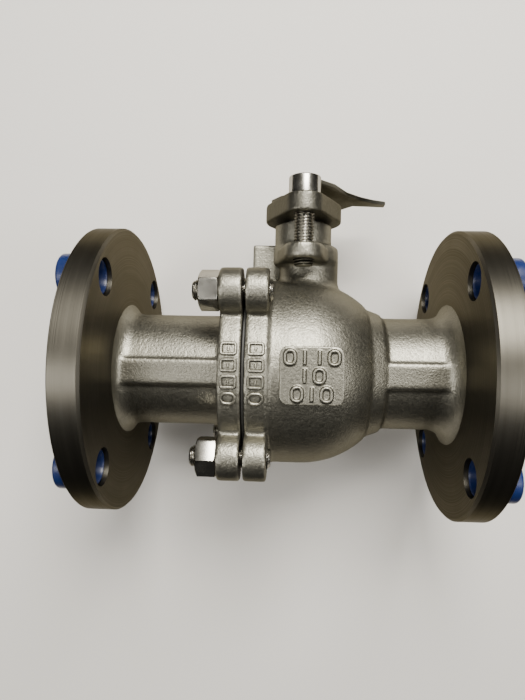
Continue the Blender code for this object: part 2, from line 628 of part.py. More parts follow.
def cover_arm(angle):
    """One arm of a cover with its button and its hollow peg, made along +Y and then turned."""
    half = COVER_ARM_WIDTH / 2
    root = RAISED_FACE_R + COVER_SIDE_CLEAR + COVER_WALL / 2
    peg_r = BOLT_HOLE_R - PEG_PLAY
    hollow_r = peg_r - PEG_WALL
    peg_end = -(FLANGE_THICK - PEG_SETBACK)
    lid = COVER_BUTTON_H - COVER_WALL
    profile = [(peg_end, hollow_r), (peg_end, peg_r), (GAP, peg_r), (GAP, COVER_BUTTON_R),
               (lid, COVER_BUTTON_R), (COVER_BUTTON_H, COVER_BUTTON_R - COVER_WALL),
               (COVER_BUTTON_H, 0), (lid, 0), (lid, hollow_r)]
    peg = turned("arm", profile, segments=SMALL_ROUND)
    peg.data.transform(Matrix.Translation((0, PITCH_CIRCLE_R, 0)))
    reach = PITCH_CIRCLE_R - peg_r + PEG_WALL / 2
    join(peg, block("bar", (2 * GAP, root, -half), (2 * GAP + COVER_ARM_THICK, reach, half)))
    peg.data.transform(Matrix.Rotation(angle, 4, "X"))
    return peg


def make_covers(plastic):
    """Push-in plastic covers on both pipe flanges, both from the same mould."""
    cover = cover_dome()
    for angle in BOLT_ANGLES:
        join(cover, cover_arm(angle))
    cover.data.materials.clear()
    cover.data.materials.append(plastic)
    cover.location = (FACE_OUT_X - RAISED_FACE_H, 0, 0)
    copy_of(cover, "inlet_cover", (FACE_IN_X + RAISED_FACE_H, 0, 0), (0, 0, math.pi))


def make_seals(white):
    """Seats, body gasket, thrust washer, packing rings and gland bush."""
    make_seat("seat_ring_inlet", -1, white)
    make_seat("seat_ring_outlet", 1, white)
    ring("body_gasket", SPIGOT_R + GAP, JOINT_R - GASKET_LIP, CAP_FACE_X + GAP, BODY_FACE_X - GAP, "X", white)
    inner = STEM_R + GAP
    ring("thrust_washer", inner, STEM_SHOULDER_R, WASHER_Z, WASHER_Z + THRUST_WASHER_H, "Z", white, MID_ROUND)
    outer = CHAMBER_R - GAP
    for number in range(PACKING_RINGS):
        low = CHAMBER_Z + GAP + number * (PACKING_RING_H + GAP)
        ring(f"packing_ring_{number + 1}", inner, outer, low, low + PACKING_RING_H, "Z", white, MID_ROUND)


def make_gland_bush(steel):
    """Bush between the packing and the gland flange."""
    low = CHAMBER_Z + GAP + PACKING_RINGS * (PACKING_RING_H + GAP)
    ring("gland_bush", STEM_R + GAP, CHAMBER_R - GAP, low, GLAND_Z - GAP, "Z", steel, MID_ROUND)


def make_axis(name, children):
    """Empty on a joint's axis that carries the pieces which turn about it."""
    axis = bpy.data.objects.new(name, None)
    axis.empty_display_size = 20 * MM
    bpy.context.scene.collection.objects.link(axis)
    for child in children:
        child.parent = axis


def shade_round():
    """Smooth shading with the real edges kept sharp."""
    for mesh in bpy.data.meshes:
        mesh.shade_smooth()
        mesh.set_sharp_from_angle(angle=math.radians(32))


def main():
    for obj in list(bpy.data.objects):
        bpy.data.objects.remove(obj, do_unlink=True)
    cast = make_material("cast_steel", (0.44, 0.42, 0.38), 0.42, 1.0)
    machined = make_material("machined_steel", (0.56, 0.55, 0.52), 0.3, 1.0)
    bright = make_material("bright_steel", (0.68, 0.67, 0.65), 0.18, 1.0)
    white = make_material("white_ptfe", (0.86, 0.86, 0.83), 0.5, 0.0)
    blue = make_material("blue_plastic", (0.02, 0.07, 0.35), 0.4, 0.0)

    make_body(cast)
    make_end_cap(cast)
    ball = make_ball(bright)
    make_seals(white)
    stem = make_stem(machined)
    plate = make_stop_plate(cast)
    make_gland_bush(machined)
    make_gland_flange(cast)
    screw = make_gland_screw(bright)
    screw.location = (0, -GLAND_SCREW_Y, HEAD_Z)
    copy_of(screw, "gland_screw_back", (0, GLAND_SCREW_Y, HEAD_Z))
    make_joint_bolting(machined, bright)
    make_covers(blue)
    make_axis("stem_axis", (stem, plate))
    make_axis("ball_axis", (ball,))
    shade_round()


main()
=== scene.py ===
"""Fine surfaces and finishes for a two-piece flanged ball valve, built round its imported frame.

Everything is in metres with +Z up the stem. The frame's nodes give the places; each piece
made here stands for the node it is named after and moves with that node's body.
"""

import json
import math

import bmesh
import bpy
from mathutils import Matrix, Vector


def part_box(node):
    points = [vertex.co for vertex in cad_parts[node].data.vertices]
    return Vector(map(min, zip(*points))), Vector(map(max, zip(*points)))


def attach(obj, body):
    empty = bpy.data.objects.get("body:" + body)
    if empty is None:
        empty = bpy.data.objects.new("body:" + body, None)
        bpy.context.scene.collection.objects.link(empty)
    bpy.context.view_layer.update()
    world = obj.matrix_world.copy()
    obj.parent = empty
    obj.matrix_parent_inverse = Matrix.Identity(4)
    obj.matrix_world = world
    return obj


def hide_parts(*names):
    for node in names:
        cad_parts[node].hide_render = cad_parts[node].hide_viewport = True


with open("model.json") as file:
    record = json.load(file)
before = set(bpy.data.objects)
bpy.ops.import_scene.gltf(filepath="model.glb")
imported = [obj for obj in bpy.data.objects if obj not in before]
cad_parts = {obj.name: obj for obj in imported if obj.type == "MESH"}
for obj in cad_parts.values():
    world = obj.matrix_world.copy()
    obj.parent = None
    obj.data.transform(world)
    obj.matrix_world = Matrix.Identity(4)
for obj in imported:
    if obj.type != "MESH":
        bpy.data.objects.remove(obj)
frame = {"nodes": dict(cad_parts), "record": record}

bl_info = {
    "name": "Flanged Ball Valve",
    "version": (1, 0, 0),
    "blender": (4, 5, 0),
    "location": "View3D > Sidebar > Valve",
    "description": "Castings, bolting, seals and covers of a two-piece flanged ball valve",
    "category": "Object",
}

MM = 0.001
GAP = 0.3 * MM
OVERLAP = 0.6 * MM        # how far a drill or a buried end runs past a face
FULL_TURN = 2 * math.pi
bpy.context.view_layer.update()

# Places read from the frame.
CAP_LOW, CAP_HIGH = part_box("end_cap")
BODY_LOW, BODY_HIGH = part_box("body_casting")
GASKET_LOW, GASKET_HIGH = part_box("body_gasket")
NUT_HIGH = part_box("joint_nut_1")[1]
STUD_LOW, STUD_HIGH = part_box("joint_stud_1")
GLAND_LOW, GLAND_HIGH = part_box("gland_flange")
SCREW_LOW, SCREW_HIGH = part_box("gland_screw_front")
STEM_LOW, STEM_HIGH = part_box("stem")
PLATE_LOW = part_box("stop_plate")[0]
BUSH_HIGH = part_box("gland_bush")[1]
WASHER_LOW, WASHER_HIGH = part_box("thrust_washer")
SEAT_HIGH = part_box("seat_ring_outlet")[1]
BALL_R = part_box("ball")[1].y
FACE_IN_X = CAP_LOW.x
FACE_OUT_X = BODY_HIGH.x
FLANGE_R = BODY_HIGH.y
SPIGOT_X = CAP_HIGH.x
BOX_TOP_Z = BODY_HIGH.z
CAP_FACE_X = GASKET_LOW.x - GAP
CAP_BACK_X = NUT_HIGH.x + GAP
BODY_FACE_X = GASKET_HIGH.x + GAP
BODY_BACK_X = BODY_FACE_X + CAP_FACE_X - CAP_BACK_X
STUD_R = (STUD_HIGH.y - STUD_LOW.y) / 2
STUD_Y = (STUD_HIGH.y + STUD_LOW.y) / 2
STUD_CIRCLE_R = STUD_Y * math.sqrt(2)
SCREW_Y = -(SCREW_HIGH.y + SCREW_LOW.y) / 2
SCREW_HEAD_R = (SCREW_HIGH.y - SCREW_LOW.y) / 2
BODIES = frame["record"]["behaviour"]["bodies"]
BODY_OF = {node: body for body, nodes in BODIES.items() for node in nodes}

# Shapes that the frame's boxes don't give.
BORE_R = 25.0 * MM
TUBE_R = 29.2 * MM
RAISED_FACE_R = 50.0 * MM
RAISED_FACE_H = 2.0 * MM
FLANGE_THICK = 14.0 * MM
PITCH_CIRCLE_R = 62.5 * MM
BOLT_HOLE_R = 9.0 * MM
CAP_FILLET = 8.0 * MM
BODY_FILLET = 11.0 * MM
BULB_R = BALL_R + 10.0 * MM
CAVITY_R = BALL_R + 2.0 * MM
JOINT_R = GASKET_HIGH.y + 3.0 * MM
JOINT_LOBE_R = 11.0 * MM
RIB_WIDTH = 12.7 * MM
RIB_REACH = TUBE_R + 1.2 * MM
SEAT_POCKET_R = SEAT_HIGH.y + GAP
SEAT_POCKET_X = SEAT_HIGH.x + GAP
STEM_R = BUSH_HIGH.y - 4.2 * MM
PACKING_BOX_R = BUSH_HIGH.y + 2.8 * MM
CHAMBER_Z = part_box("packing_ring_1")[0].z - GAP
EAR_R = GLAND_HIGH.y - SCREW_Y
STEM_HIGH_R = STEM_HIGH.y
STEM_TOP_R = 7.2 * MM
STEM_FLATS = 9.4 * MM
TONGUE_HALF = 4.9 * MM
NECK_LEFT = STEM_R + 4.2 * MM
NECK_RIGHT = STEM_R + 10.8 * MM
NECK_FRONT = STEM_R + 7.0 * MM
COLLAR_LEFT = PACKING_BOX_R + 0.6 * MM
COLLAR_H = 10.0 * MM
EAR_H = 7.5 * MM
LUG_Y = (12.0 * MM, 20.0 * MM)
LUG_Z = (BULB_R - 6 * MM, BULB_R + 22 * MM)
LUG_END_X = -11.0 * MM
LUG_REACH_Z = 4.0 * MM
PAD_X = (-10.3 * MM, 18.8 * MM)
PAD_Z = (-13.0 * MM, 13.7 * MM)
PAD_FACE = BULB_R + 1.0 * MM
PAD_CORNER = 4.0 * MM
PAD_ROWS = ((1, 0, 0, 1), (0, 1), (1, 0, 1))
PAD_ROW_PITCH = 8.3 * MM
PAD_MARK_PITCH = 6.6 * MM
NUT_TURNS = (12.0, 30.0, 0.0, 5.0)
PAD_MARK_LIFT = 0.2 * MM
RIM_MARK_PITCH = 7.6 * MM
RIM_MARK_LIFT = 0.15 * MM
FIRST_RIM_MARK = 1.6      # in pitches above the pipe's middle
JOINT_FACE_SPARE = 0.35 * MM
JOINT_FACE_BEVEL = 0.9 * MM
CAP_ROOT_FILLET = 3.0 * MM
GROOVE_PITCH = 0.8 * MM
GROOVE_DEPTH = 0.12 * MM
THREAD_SIDES = 56
THREAD_STEPS = 12         # rings of points in one turn of a thread
NUT_DROP = 1.1 * MM
NUT_INSET = 1.9 * MM
STEM_SHOULDER_H = 4.0 * MM
HEX_SOCKET_FLATS = 8.0 * MM
HEX_SOCKET_DEPTH = 5.0 * MM
NECK_FLARE_X = 1.5 * MM
NECK_FLARE_Y = 4.5 * MM
NECK_FOOT = ((-5 * MM, 1), (-0.1 * MM, 1), (0.45 * MM, 0.56), (1.3 * MM, 0.28), (2.6 * MM, 0.09),
             (4.8 * MM, 0), (None, 0))    # height over the bulb and share of the flare
SHOULDER_START = 6.0 * MM
SHOULDER_RING_X = 8.0 * MM
SHOULDER_RING_TOP = 5.0 * MM
SHOULDER_RING_LOW = 2.0 * MM
CASTING_FINISHES = ("cast_skin", "turned_faces")


class ValveCastings(bpy.types.PropertyGroup):
    """Sizes of the cast surfaces."""

    grain: bpy.props.FloatProperty(
        name="Skin Grain", description="Edge of the cells that the cast skins are built from",
        default=0.9 * MM, min=0.4 * MM, max=3 * MM, unit="LENGTH")
    softness: bpy.props.IntProperty(
        name="Edge Softness", description="Rounds of smoothing on the cast edges",
        default=7, min=0, max=60)
    unevenness: bpy.props.FloatProperty(
        name="Unevenness", description="Height of the slow waves in the cast skins",
        default=0.14 * MM, min=0, max=1 * MM, unit="LENGTH")
    steel: bpy.props.FloatVectorProperty(
        name="Cast Steel", description="Colour of the blasted cast skin", subtype="COLOR",
        default=(0.255, 0.245, 0.205), min=0, max=1)
    turned: bpy.props.FloatVectorProperty(
        name="Turned Steel", description="Colour of the turned faces", subtype="COLOR",
        default=(0.135, 0.126, 0.105), min=0, max=1)


class ValveBolting(bpy.types.PropertyGroup):
    """Sizes of the studs, nuts and screws."""

    pitch: bpy.props.FloatProperty(
        name="Thread Pitch", description="Distance from one thread to the next",
        default=1.5 * MM, min=0.5 * MM, max=4 * MM, unit="LENGTH")
    depth: bpy.props.FloatProperty(
        name="Thread Depth", description="Depth of the thread below its crest",
        default=0.85 * MM, min=0.1 * MM, max=2 * MM, unit="LENGTH")
    nut_flats: bpy.props.FloatProperty(
        name="Nut Across Flats", description="Width of a joint nut across its flats",
        default=17.0 * MM, min=8 * MM, max=30 * MM, unit="LENGTH")
    bright: bpy.props.FloatVectorProperty(
        name="Bright Steel", description="Colour of the nuts and screws", subtype="COLOR",
        default=(0.50, 0.485, 0.44), min=0, max=1)


class ValveTrim(bpy.types.PropertyGroup):
    """Colours of the seals and covers."""

    ptfe: bpy.props.FloatVectorProperty(
        name="PTFE", description="Colour of the seats and packing", subtype="COLOR",
        default=(0.83, 0.83, 0.79), min=0, max=1)
    plastic: bpy.props.FloatVectorProperty(
        name="Cover Plastic", description="Colour of the end covers", subtype="COLOR",
        default=(0.007, 0.018, 0.085), min=0, max=1)


# Mesh tools.

def placed(name, data):
    """A new object in the scene."""
    obj = bpy.data.objects.new(name, data)
    bpy.context.scene.collection.objects.link(obj)
    return obj


def arc(centre, radius, start, end, steps):
    """Points on an arc of an outline or a profile, its angles in degrees."""
    points = []
    for step in range(steps + 1):
        angle = math.radians(start + (end - start) * step / steps)
        points.append((centre[0] + radius * math.cos(angle), centre[1] + radius * math.sin(angle)))
    return points


def round_about(radius, count=4):
    """Centres of a ring of holes or studs, as (y, z)."""
    angles = [math.radians(45 + 360 / count * i) for i in range(count)]
    return [(radius * math.cos(angle), radius * math.sin(angle)) for angle in angles]


def finish_named(name):
    """A material made by make_finishes."""
    return bpy.data.materials[name]


def to_object(name, bm, finish=0):
    """Make an object from a bmesh, its faces outwards and in one of the casting's finishes."""
    bmesh.ops.recalc_face_normals(bm, faces=bm.faces)
    for face in bm.faces:
        face.material_index = finish
    mesh = bpy.data.meshes.new(name)
    bm.to_mesh(mesh)
    bm.free()
    for label in CASTING_FINISHES:
        mesh.materials.append(finish_named(label))
    return placed(name, mesh)


def turned(name, profile, axis="X", segments=96, finish=0):
    """Spin a closed profile of (place along the axis, radius) points about X or Z."""
    bm = bmesh.new()
    verts = []
    for along, radius in profile:
        place = (along, 0, radius) if axis == "X" else (radius, 0, along)
        verts.append(bm.verts.new(place))
    edges = []
    for first, second in zip(verts, verts[1:] + verts[:1]):
        radii = [first.co.z, second.co.z] if axis == "X" else [first.co.x, second.co.x]
        if max(radii) > 0:
            edges.append(bm.edges.new((first, second)))
    direction = (1, 0, 0) if axis == "X" else (0, 0, 1)
    bmesh.ops.spin(bm, geom=verts + edges, cent=(0, 0, 0), axis=direction, dvec=(0, 0, 0),
                   angle=FULL_TURN, steps=segments, use_merge=True, use_duplicate=False)
    bmesh.ops.remove_doubles(bm, verts=bm.verts, dist=0.005 * MM)
    return to_object(name, bm, finish)


def extruded(name, outline, low, high, axis="Z", bevel=0.0, steps=3, finish=0):
    """Extrude an outline along Z, as (x, y), or along X, as (y, z), and round both its rims."""
    bm = bmesh.new()
    places = [(a, b, low) if axis == "Z" else (low, a, b) for a, b in outline]
    base = bm.faces.new([bm.verts.new(place) for place in places])
    grown = bmesh.ops.extrude_face_region(bm, geom=[base])
    top = [item for item in grown["geom"] if isinstance(item, bmesh.types.BMVert)]
    shift = Vector((0, 0, high - low)) if axis == "Z" else Vector((high - low, 0, 0))
    bmesh.ops.translate(bm, verts=top, vec=shift)
    bmesh.ops.recalc_face_normals(bm, faces=bm.faces)
    if bevel:
        caps = [face for face in bm.faces if len(face.verts) == len(outline)]
        rims = [edge for face in caps for edge in face.edges]
        bmesh.ops.bevel(bm, geom=rims, offset=bevel, segments=steps, profile=0.5, affect="EDGES")
    return to_object(name, bm, finish)


def block(low, high, bevel=0.0, finish=0):
    """A box between two corners, with rounded edges."""
    bm = bmesh.new()
    bmesh.ops.create_cube(bm, size=1)
    size = Vector(high) - Vector(low)
    centre = (Vector(high) + Vector(low)) / 2
    matrix = Matrix.Translation(centre) @ Matrix.Diagonal((*size, 1))
    bmesh.ops.transform(bm, matrix=matrix, verts=bm.verts)
    if bevel:
        bmesh.ops.bevel(bm, geom=bm.edges[:], offset=bevel, segments=3, profile=0.5, affect="EDGES")
    return to_object("block", bm, finish)


def rod(radius, low, high, axis="Z", centre=(0, 0), chamfer=0.0, segments=64, finish=1):
    """A round bar or drill with optional chamfers, moved off its axis to a centre."""
    profile = [(low, 0), (low, radius - chamfer), (low + chamfer, radius),
               (high - chamfer, radius), (high, radius - chamfer), (high, 0)]
    if not chamfer:
        profile = [(low, 0), (low, radius), (high, radius), (high, 0)]
    obj = turned("rod", profile, axis, segments, finish)
    shift = (0, *centre) if axis == "X" else (*centre, 0)
    obj.data.transform(Matrix.Translation(shift))
    return obj


def hexagon(across_flats, turn=0.0):
    """Corners of a hexagon."""
    radius = across_flats / 2 / math.cos(math.radians(30))
    angles = [math.radians(60 * i + turn) for i in range(6)]
    return [(radius * math.cos(angle), radius * math.sin(angle)) for angle in angles]


def bake(obj):
    """Replace an object's mesh by the one that its modifiers make."""
    bpy.context.view_layer.update()
    evaluated = obj.evaluated_get(bpy.context.evaluated_depsgraph_get())
    mesh = bpy.data.meshes.new_from_object(evaluated)
    mesh.name = obj.name
    obj.modifiers.clear()
    obj.data = mesh
    return obj


def combine(obj, tool, operation):
    """Join a solid with another one, or cut it, and use the other one up."""
    modifier = obj.modifiers.new(operation.title(), "BOOLEAN")
    modifier.operation = operation
    modifier.solver = "MANIFOLD"
    modifier.object = tool
    bake(obj)
    bpy.data.objects.remove(tool)


def join(obj, *tools):
    """Join solids into the first one."""
    for tool in tools:
        combine(obj, tool, "UNION")


def cut(obj, *tools):
    """Cut solids out of the first one."""
    for tool in tools:
        combine(obj, tool, "DIFFERENCE")


def heap(obj, *others):
    """Put the faces of other objects into the first one, without joining the solids."""
    bm = bmesh.new()
    bm.from_mesh(obj.data)
    for other in others:
        bm.from_mesh(other.data)
        bpy.data.objects.remove(other)
    bm.to_mesh(obj.data)
    bm.free()
    return obj


def cast(obj, cell, softness, unevenness):
    """Run overlapping solids together under one skin with soft edges and slow waves."""
    skin = obj.modifiers.new("Skin", "REMESH")
    skin.mode = "VOXEL"
    skin.voxel_size = cell
    soften = obj.modifiers.new("Soften", "SMOOTH")
    soften.factor = 0.5
    soften.iterations = softness
    bake(obj)
    waves = bpy.data.textures.new("cast_waves", "CLOUDS")
    waves.noise_scale = 9 * MM
    waves.noise_depth = 1
    uneven = obj.modifiers.new("Unevenness", "DISPLACE")
    uneven.texture = waves
    uneven.texture_coords = "LOCAL"
    uneven.strength = unevenness
    uneven.mid_level = 0.55
    bake(obj)
    bpy.data.textures.remove(waves)
    return obj


def shade(obj, angle=30):
    """Smooth shading with the real edges kept sharp."""
    obj.data.shade_smooth()
    obj.data.set_sharp_from_angle(angle=math.radians(angle))
    for face in obj.data.polygons:
        if max(abs(part) for part in face.normal) > 0.9999:
            face.use_smooth = False


def hand_over(obj, node, slot, *finishes):
    """Give a finished piece its materials and let it stand for its node on the node's body."""
    if len(finishes) == 1:
        obj.data.materials.clear()
        obj.data.materials.append(finish_named(finishes[0]))
    else:
        for i, finish in enumerate(finishes):
            obj.data.materials[i] = finish_named(finish)
    shade(obj)
    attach(obj, BODY_OF[node])
    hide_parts(node)
    return obj


# Shader groups and materials.

class Nodes:
    """Adds nodes to a tree, joining each named input to a value or to another node's socket."""

    def __init__(self, tree):
        self.tree = tree

    def add(self, kind, settings=None, **inputs):
        """Add one node and return its first visible output."""
        node = self.tree.nodes.new(kind)
        for name, value in (settings or {}).items():
            setattr(node, name, value)
        for name, value in inputs.items():
            socket = self.find(node, name)
            if isinstance(value, bpy.types.NodeSocket):
                self.tree.links.new(value, socket)
            else:
                socket.default_value = value
        return next((socket for socket in node.outputs if socket.enabled), None)

    @staticmethod
    def find(node, name):
        """An input by its number, written _0, or by its name with underscores for spaces."""
        if name[0] == "_":
            return node.inputs[int(name[1:])]
        wanted = name.replace("_", " ").strip()
        return next(socket for socket in node.inputs if socket.enabled and socket.name == wanted)

    def math(self, operation, first, second=0.0, third=0.0):
        """One Math node."""
        return self.add("ShaderNodeMath", {"operation": operation}, _0=first, _1=second, _2=third)

    def spread(self, value, low, high, to_low=0.0, to_high=1.0):
        """Map a range of a value onto another range, held at its ends."""
        return self.add("ShaderNodeMapRange", {}, _0=value, _1=low, _2=high, _3=to_low, _4=to_high)


def new_group(name, inputs, outputs, kind="ShaderNodeTree"):
    """A node group with number inputs, as (name, value), and outputs, and its tools."""
    tree = bpy.data.node_groups.new(name, kind)
    for label, value in inputs:
        socket = tree.interface.new_socket(label, in_out="INPUT", socket_type="NodeSocketFloat")
        socket.default_value = value
    for label in outputs:
        tree.interface.new_socket(label, in_out="OUTPUT", socket_type="NodeSocketFloat")
    entry = tree.nodes.new("NodeGroupInput")
    leave = tree.nodes.new("NodeGroupOutput")
    return tree, Nodes(tree), entry.outputs, leave.inputs


def grain_group():
    """Fine pebbled height and slow blotches of a blasted casting."""
    tree, nodes, given, out = new_group(
        "cast_grain", [("Grain Size", 1.0), ("Blotch Size", 18.0)], ("Height", "Blotches"))
    place = nodes.tree.nodes.new("ShaderNodeTexCoord").outputs["Object"]
    fine = nodes.math("DIVIDE", 1000.0, given["Grain Size"])
    slow = nodes.math("DIVIDE", 1000.0, given["Blotch Size"])
    pebbles = nodes.add("ShaderNodeTexNoise", {}, Vector=place, Scale=fine, Detail=2.0,
                        Roughness=0.55)
    swell = nodes.add("ShaderNodeTexNoise", {}, Vector=place, Detail=1.0,
                      Scale=nodes.math("MULTIPLY", fine, 0.5))
    pits = nodes.add("ShaderNodeTexVoronoi", {"feature": "SMOOTH_F1"}, Vector=place,
                     Scale=nodes.math("MULTIPLY", fine, 0.55), Smoothness=0.6)
    height = nodes.math("MULTIPLY_ADD", pits, 0.5, pebbles)
    tree.links.new(nodes.math("MULTIPLY_ADD", swell, 0.35, height), out["Height"])
    blotches = nodes.add("ShaderNodeTexNoise", {}, Vector=place, Scale=slow, Detail=3.0,
                         Roughness=0.6)
    tree.links.new(nodes.spread(blotches, 0.35, 0.65), out["Blotches"])
    return tree


def lathe_group():
    """Fine rings left by turning about X, on flat faces and on rims alike."""
    tree, nodes, given, out = new_group("lathe_lines", [("Spacing", 0.5)], ("Height", "Bands"))
    place = nodes.tree.nodes.new("ShaderNodeTexCoord").outputs["Object"]
    split = nodes.tree.nodes.new("ShaderNodeSeparateXYZ")
    tree.links.new(place, split.inputs[0])
    across = nodes.math("POWER", split.outputs["Y"], 2.0)
    up = nodes.math("POWER", split.outputs["Z"], 2.0)
    radius = nodes.math("SQRT", nodes.math("ADD", across, up))
    feed = nodes.math("ADD", radius, nodes.math("MULTIPLY", split.outputs["X"], 1.37))
    lines = nodes.math("DIVIDE", 1000.0, given["Spacing"])
    cuts = nodes.add("ShaderNodeTexNoise", {"noise_dimensions": "1D"}, W=feed, Scale=lines,
                     Detail=3.0)
    wide = nodes.add("ShaderNodeTexNoise", {"noise_dimensions": "1D"}, W=feed,
                     Scale=nodes.math("MULTIPLY", lines, 0.12), Detail=2.0)
    tree.links.new(cuts, out["Height"])
    tree.links.new(nodes.spread(wide, 0.35, 0.65), out["Bands"])
    return tree


def wear_group():
    """Masks of the worn outer edges and of the corners and creases that get painted shade."""
    tree, nodes, given, out = new_group("edge_wear", [("Width", 1.0)], ("Edges", "Corners"))
    shape = nodes.tree.nodes.new("ShaderNodeNewGeometry").outputs["Pointiness"]
    spread = nodes.math("MULTIPLY", given["Width"], 0.06)
    tree.links.new(nodes.spread(shape, 0.51, nodes.math("ADD", 0.51, spread)), out["Edges"])
    # The corner mask picks out hollows, which the finishes darken as painted shade.
    tree.links.new(nodes.spread(shape, 0.49, nodes.math("SUBTRACT", 0.49, spread)), out["Corners"])
    return tree


class Finish:
    """A Principled material whose look is built from the shared groups."""

    def __init__(self, name, metallic, **sockets):
        self.material = bpy.data.materials.new(name)
        self.material.use_nodes = True
        tree = self.material.node_tree
        self.nodes = Nodes(tree)
        self.shader = tree.nodes["Principled BSDF"]
        self.shader.inputs["Metallic"].default_value = metallic
        if metallic:
            self.shader.inputs["Specular Tint"].default_value = (0.42, 0.40, 0.35, 1)
        for label, value in sockets.items():
            self.shader.inputs[label.replace("_", " ")].default_value = value

    def group(self, name, **values):
        """Place a shared group and return its outputs."""
        node = self.nodes.tree.nodes.new("ShaderNodeGroup")
        node.node_tree = bpy.data.node_groups[name]
        for label, value in values.items():
            node.inputs[label.replace("_", " ")].default_value = value
        return node.outputs

    def mix(self, mask, first, second):
        """Mix two colours, each a socket or a triple, by a mask."""
        node = self.nodes.tree.nodes.new("ShaderNodeMix")
        node.data_type = "RGBA"
        self.nodes.tree.links.new(mask, node.inputs["Factor"])
        for socket, part in zip((node.inputs[6], node.inputs[7]), (first, second)):
            if isinstance(part, bpy.types.NodeSocket):
                self.nodes.tree.links.new(part, socket)
            else:
                socket.default_value = (*part, 1)
        return node.outputs[2]

    def set(self, label, source):
        """Feed one of the shader's inputs."""
        self.nodes.tree.links.new(source, self.shader.inputs[label])

    def bump(self, height, distance, strength=1.0):
        """Feed the shader's normal from a height."""
        normal = self.nodes.add("ShaderNodeBump", {}, Strength=strength, Distance=distance,
                                Height=height)
        self.set("Normal", normal)
        return self.material


def shaded(colour, factor):
    """A colour made darker or lighter."""
    return tuple(min(1.0, part * factor) for part in colour)


def cast_skin(name, colour):
    """Blasted and pickled cast stainless steel."""
    finish = Finish(name, 1.0)
    grain = finish.group("cast_grain", Grain_Size=0.85, Blotch_Size=20.0)
    wear = finish.group("edge_wear", Width=1.0)
    patchy = finish.mix(grain["Blotches"], shaded(colour, 0.92), shaded(colour, 1.05))
    # Painted shade: corners and creases darkened to 0.15 of the colour.
    dirty = finish.mix(wear["Corners"], patchy, shaded(colour, 0.15))
    finish.set("Base Color", finish.mix(wear["Edges"], dirty, shaded(colour, 1.3)))
    finish.set("Roughness", finish.nodes.spread(grain["Height"], 0.6, 1.4, 0.37, 0.52))
    return finish.bump(grain["Height"], 0.13 * MM, 1.0)


def turned_faces(colour):
    """Turned cast steel, with the tool's rings."""
    finish = Finish("turned_faces", 1.0, Anisotropic=0.4, Anisotropic_Rotation=0.25)
    along = finish.nodes.add("ShaderNodeTangent", {"direction_type": "RADIAL", "axis": "X"})
    finish.set("Tangent", along)
    lines = finish.group("lathe_lines", Spacing=0.6)
    grain = finish.group("cast_grain", Grain_Size=1.2, Blotch_Size=30.0)
    banded = finish.mix(lines["Bands"], shaded(colour, 0.86), shaded(colour, 1.08))
    finish.set("Base Color", finish.mix(grain["Blotches"], banded, shaded(colour, 0.88)))
    finish.set("Roughness", finish.nodes.spread(lines["Height"], 0.3, 0.7, 0.34, 0.46))
    return finish.bump(lines["Height"], 0.015 * MM, 0.8)


def tumbled_steel(colour):
    """Smooth rolled and tumbled stainless steel."""
    finish = Finish("tumbled_steel", 1.0)
    grain = finish.group("cast_grain", Grain_Size=0.5, Blotch_Size=8.0)
    wear = finish.group("edge_wear", Width=0.8)
    patchy = finish.mix(grain["Blotches"], shaded(colour, 0.93), colour)
    # Painted shade: corners and creases darkened to 0.35 of the colour.
    finish.set("Base Color", finish.mix(wear["Corners"], patchy, shaded(colour, 0.35)))
    finish.set("Roughness", finish.nodes.spread(grain["Blotches"], 0.0, 1.0, 0.20, 0.28))
    return finish.bump(grain["Height"], 0.01 * MM, 0.5)


def ground_bar(colour):
    """Machined bar for the stem and the studs."""
    finish = Finish("ground_bar", 1.0)
    grain = finish.group("cast_grain", Grain_Size=0.35, Blotch_Size=10.0)
    wear = finish.group("edge_wear", Width=0.8)
    patchy = finish.mix(grain["Blotches"], shaded(colour, 0.8), shaded(colour, 0.95))
    # Painted shade: corners and creases darkened to 0.25 of the colour.
    finish.set("Base Color", finish.mix(wear["Corners"], patchy, shaded(colour, 0.25)))
    finish.set("Roughness", finish.nodes.spread(grain["Height"], 0.6, 1.4, 0.22, 0.36))
    return finish.bump(grain["Height"], 0.02 * MM, 0.5)


def sheared_plate(colour):
    """Sheared and tumbled sheet, also put on the gland screws' lower ends as painted shade."""
    finish = Finish("sheared_plate", 1.0)
    grain = finish.group("cast_grain", Grain_Size=0.6, Blotch_Size=9.0)
    wear = finish.group("edge_wear", Width=1.0)
    patchy = finish.mix(grain["Blotches"], shaded(colour, 0.12), shaded(colour, 0.3))
    finish.set("Base Color", finish.mix(wear["Edges"], patchy, shaded(colour, 1.25)))
    finish.set("Roughness", finish.nodes.spread(grain["Height"], 0.6, 1.4, 0.42, 0.6))
    return finish.bump(grain["Height"], 0.06 * MM, 0.8)


def machined_ptfe(name, colour):
    """Machined PTFE, white or darkened as painted shade."""
    finish = Finish(name, 0.0, IOR=1.38)
    lines = finish.group("lathe_lines", Spacing=0.4)
    finish.set("Base Color", finish.mix(lines["Bands"], shaded(colour, 0.95), colour))
    finish.set("Roughness", finish.nodes.spread(lines["Height"], 0.3, 0.7, 0.42, 0.55))
    return finish.bump(lines["Height"], 0.01 * MM, 0.5)


def moulded_plastic(colour):
    """Moulded polyethylene with a faint orange peel."""
    finish = Finish("moulded_plastic", 0.0, IOR=1.5)
    grain = finish.group("cast_grain", Grain_Size=1.6, Blotch_Size=14.0)
    patchy = finish.mix(grain["Blotches"], shaded(colour, 0.85), shaded(colour, 1.2))
    finish.set("Base Color", patchy)
    finish.set("Roughness", finish.nodes.spread(grain["Height"], 0.6, 1.4, 0.3, 0.45))
    return finish.bump(grain["Height"], 0.03 * MM, 0.6)


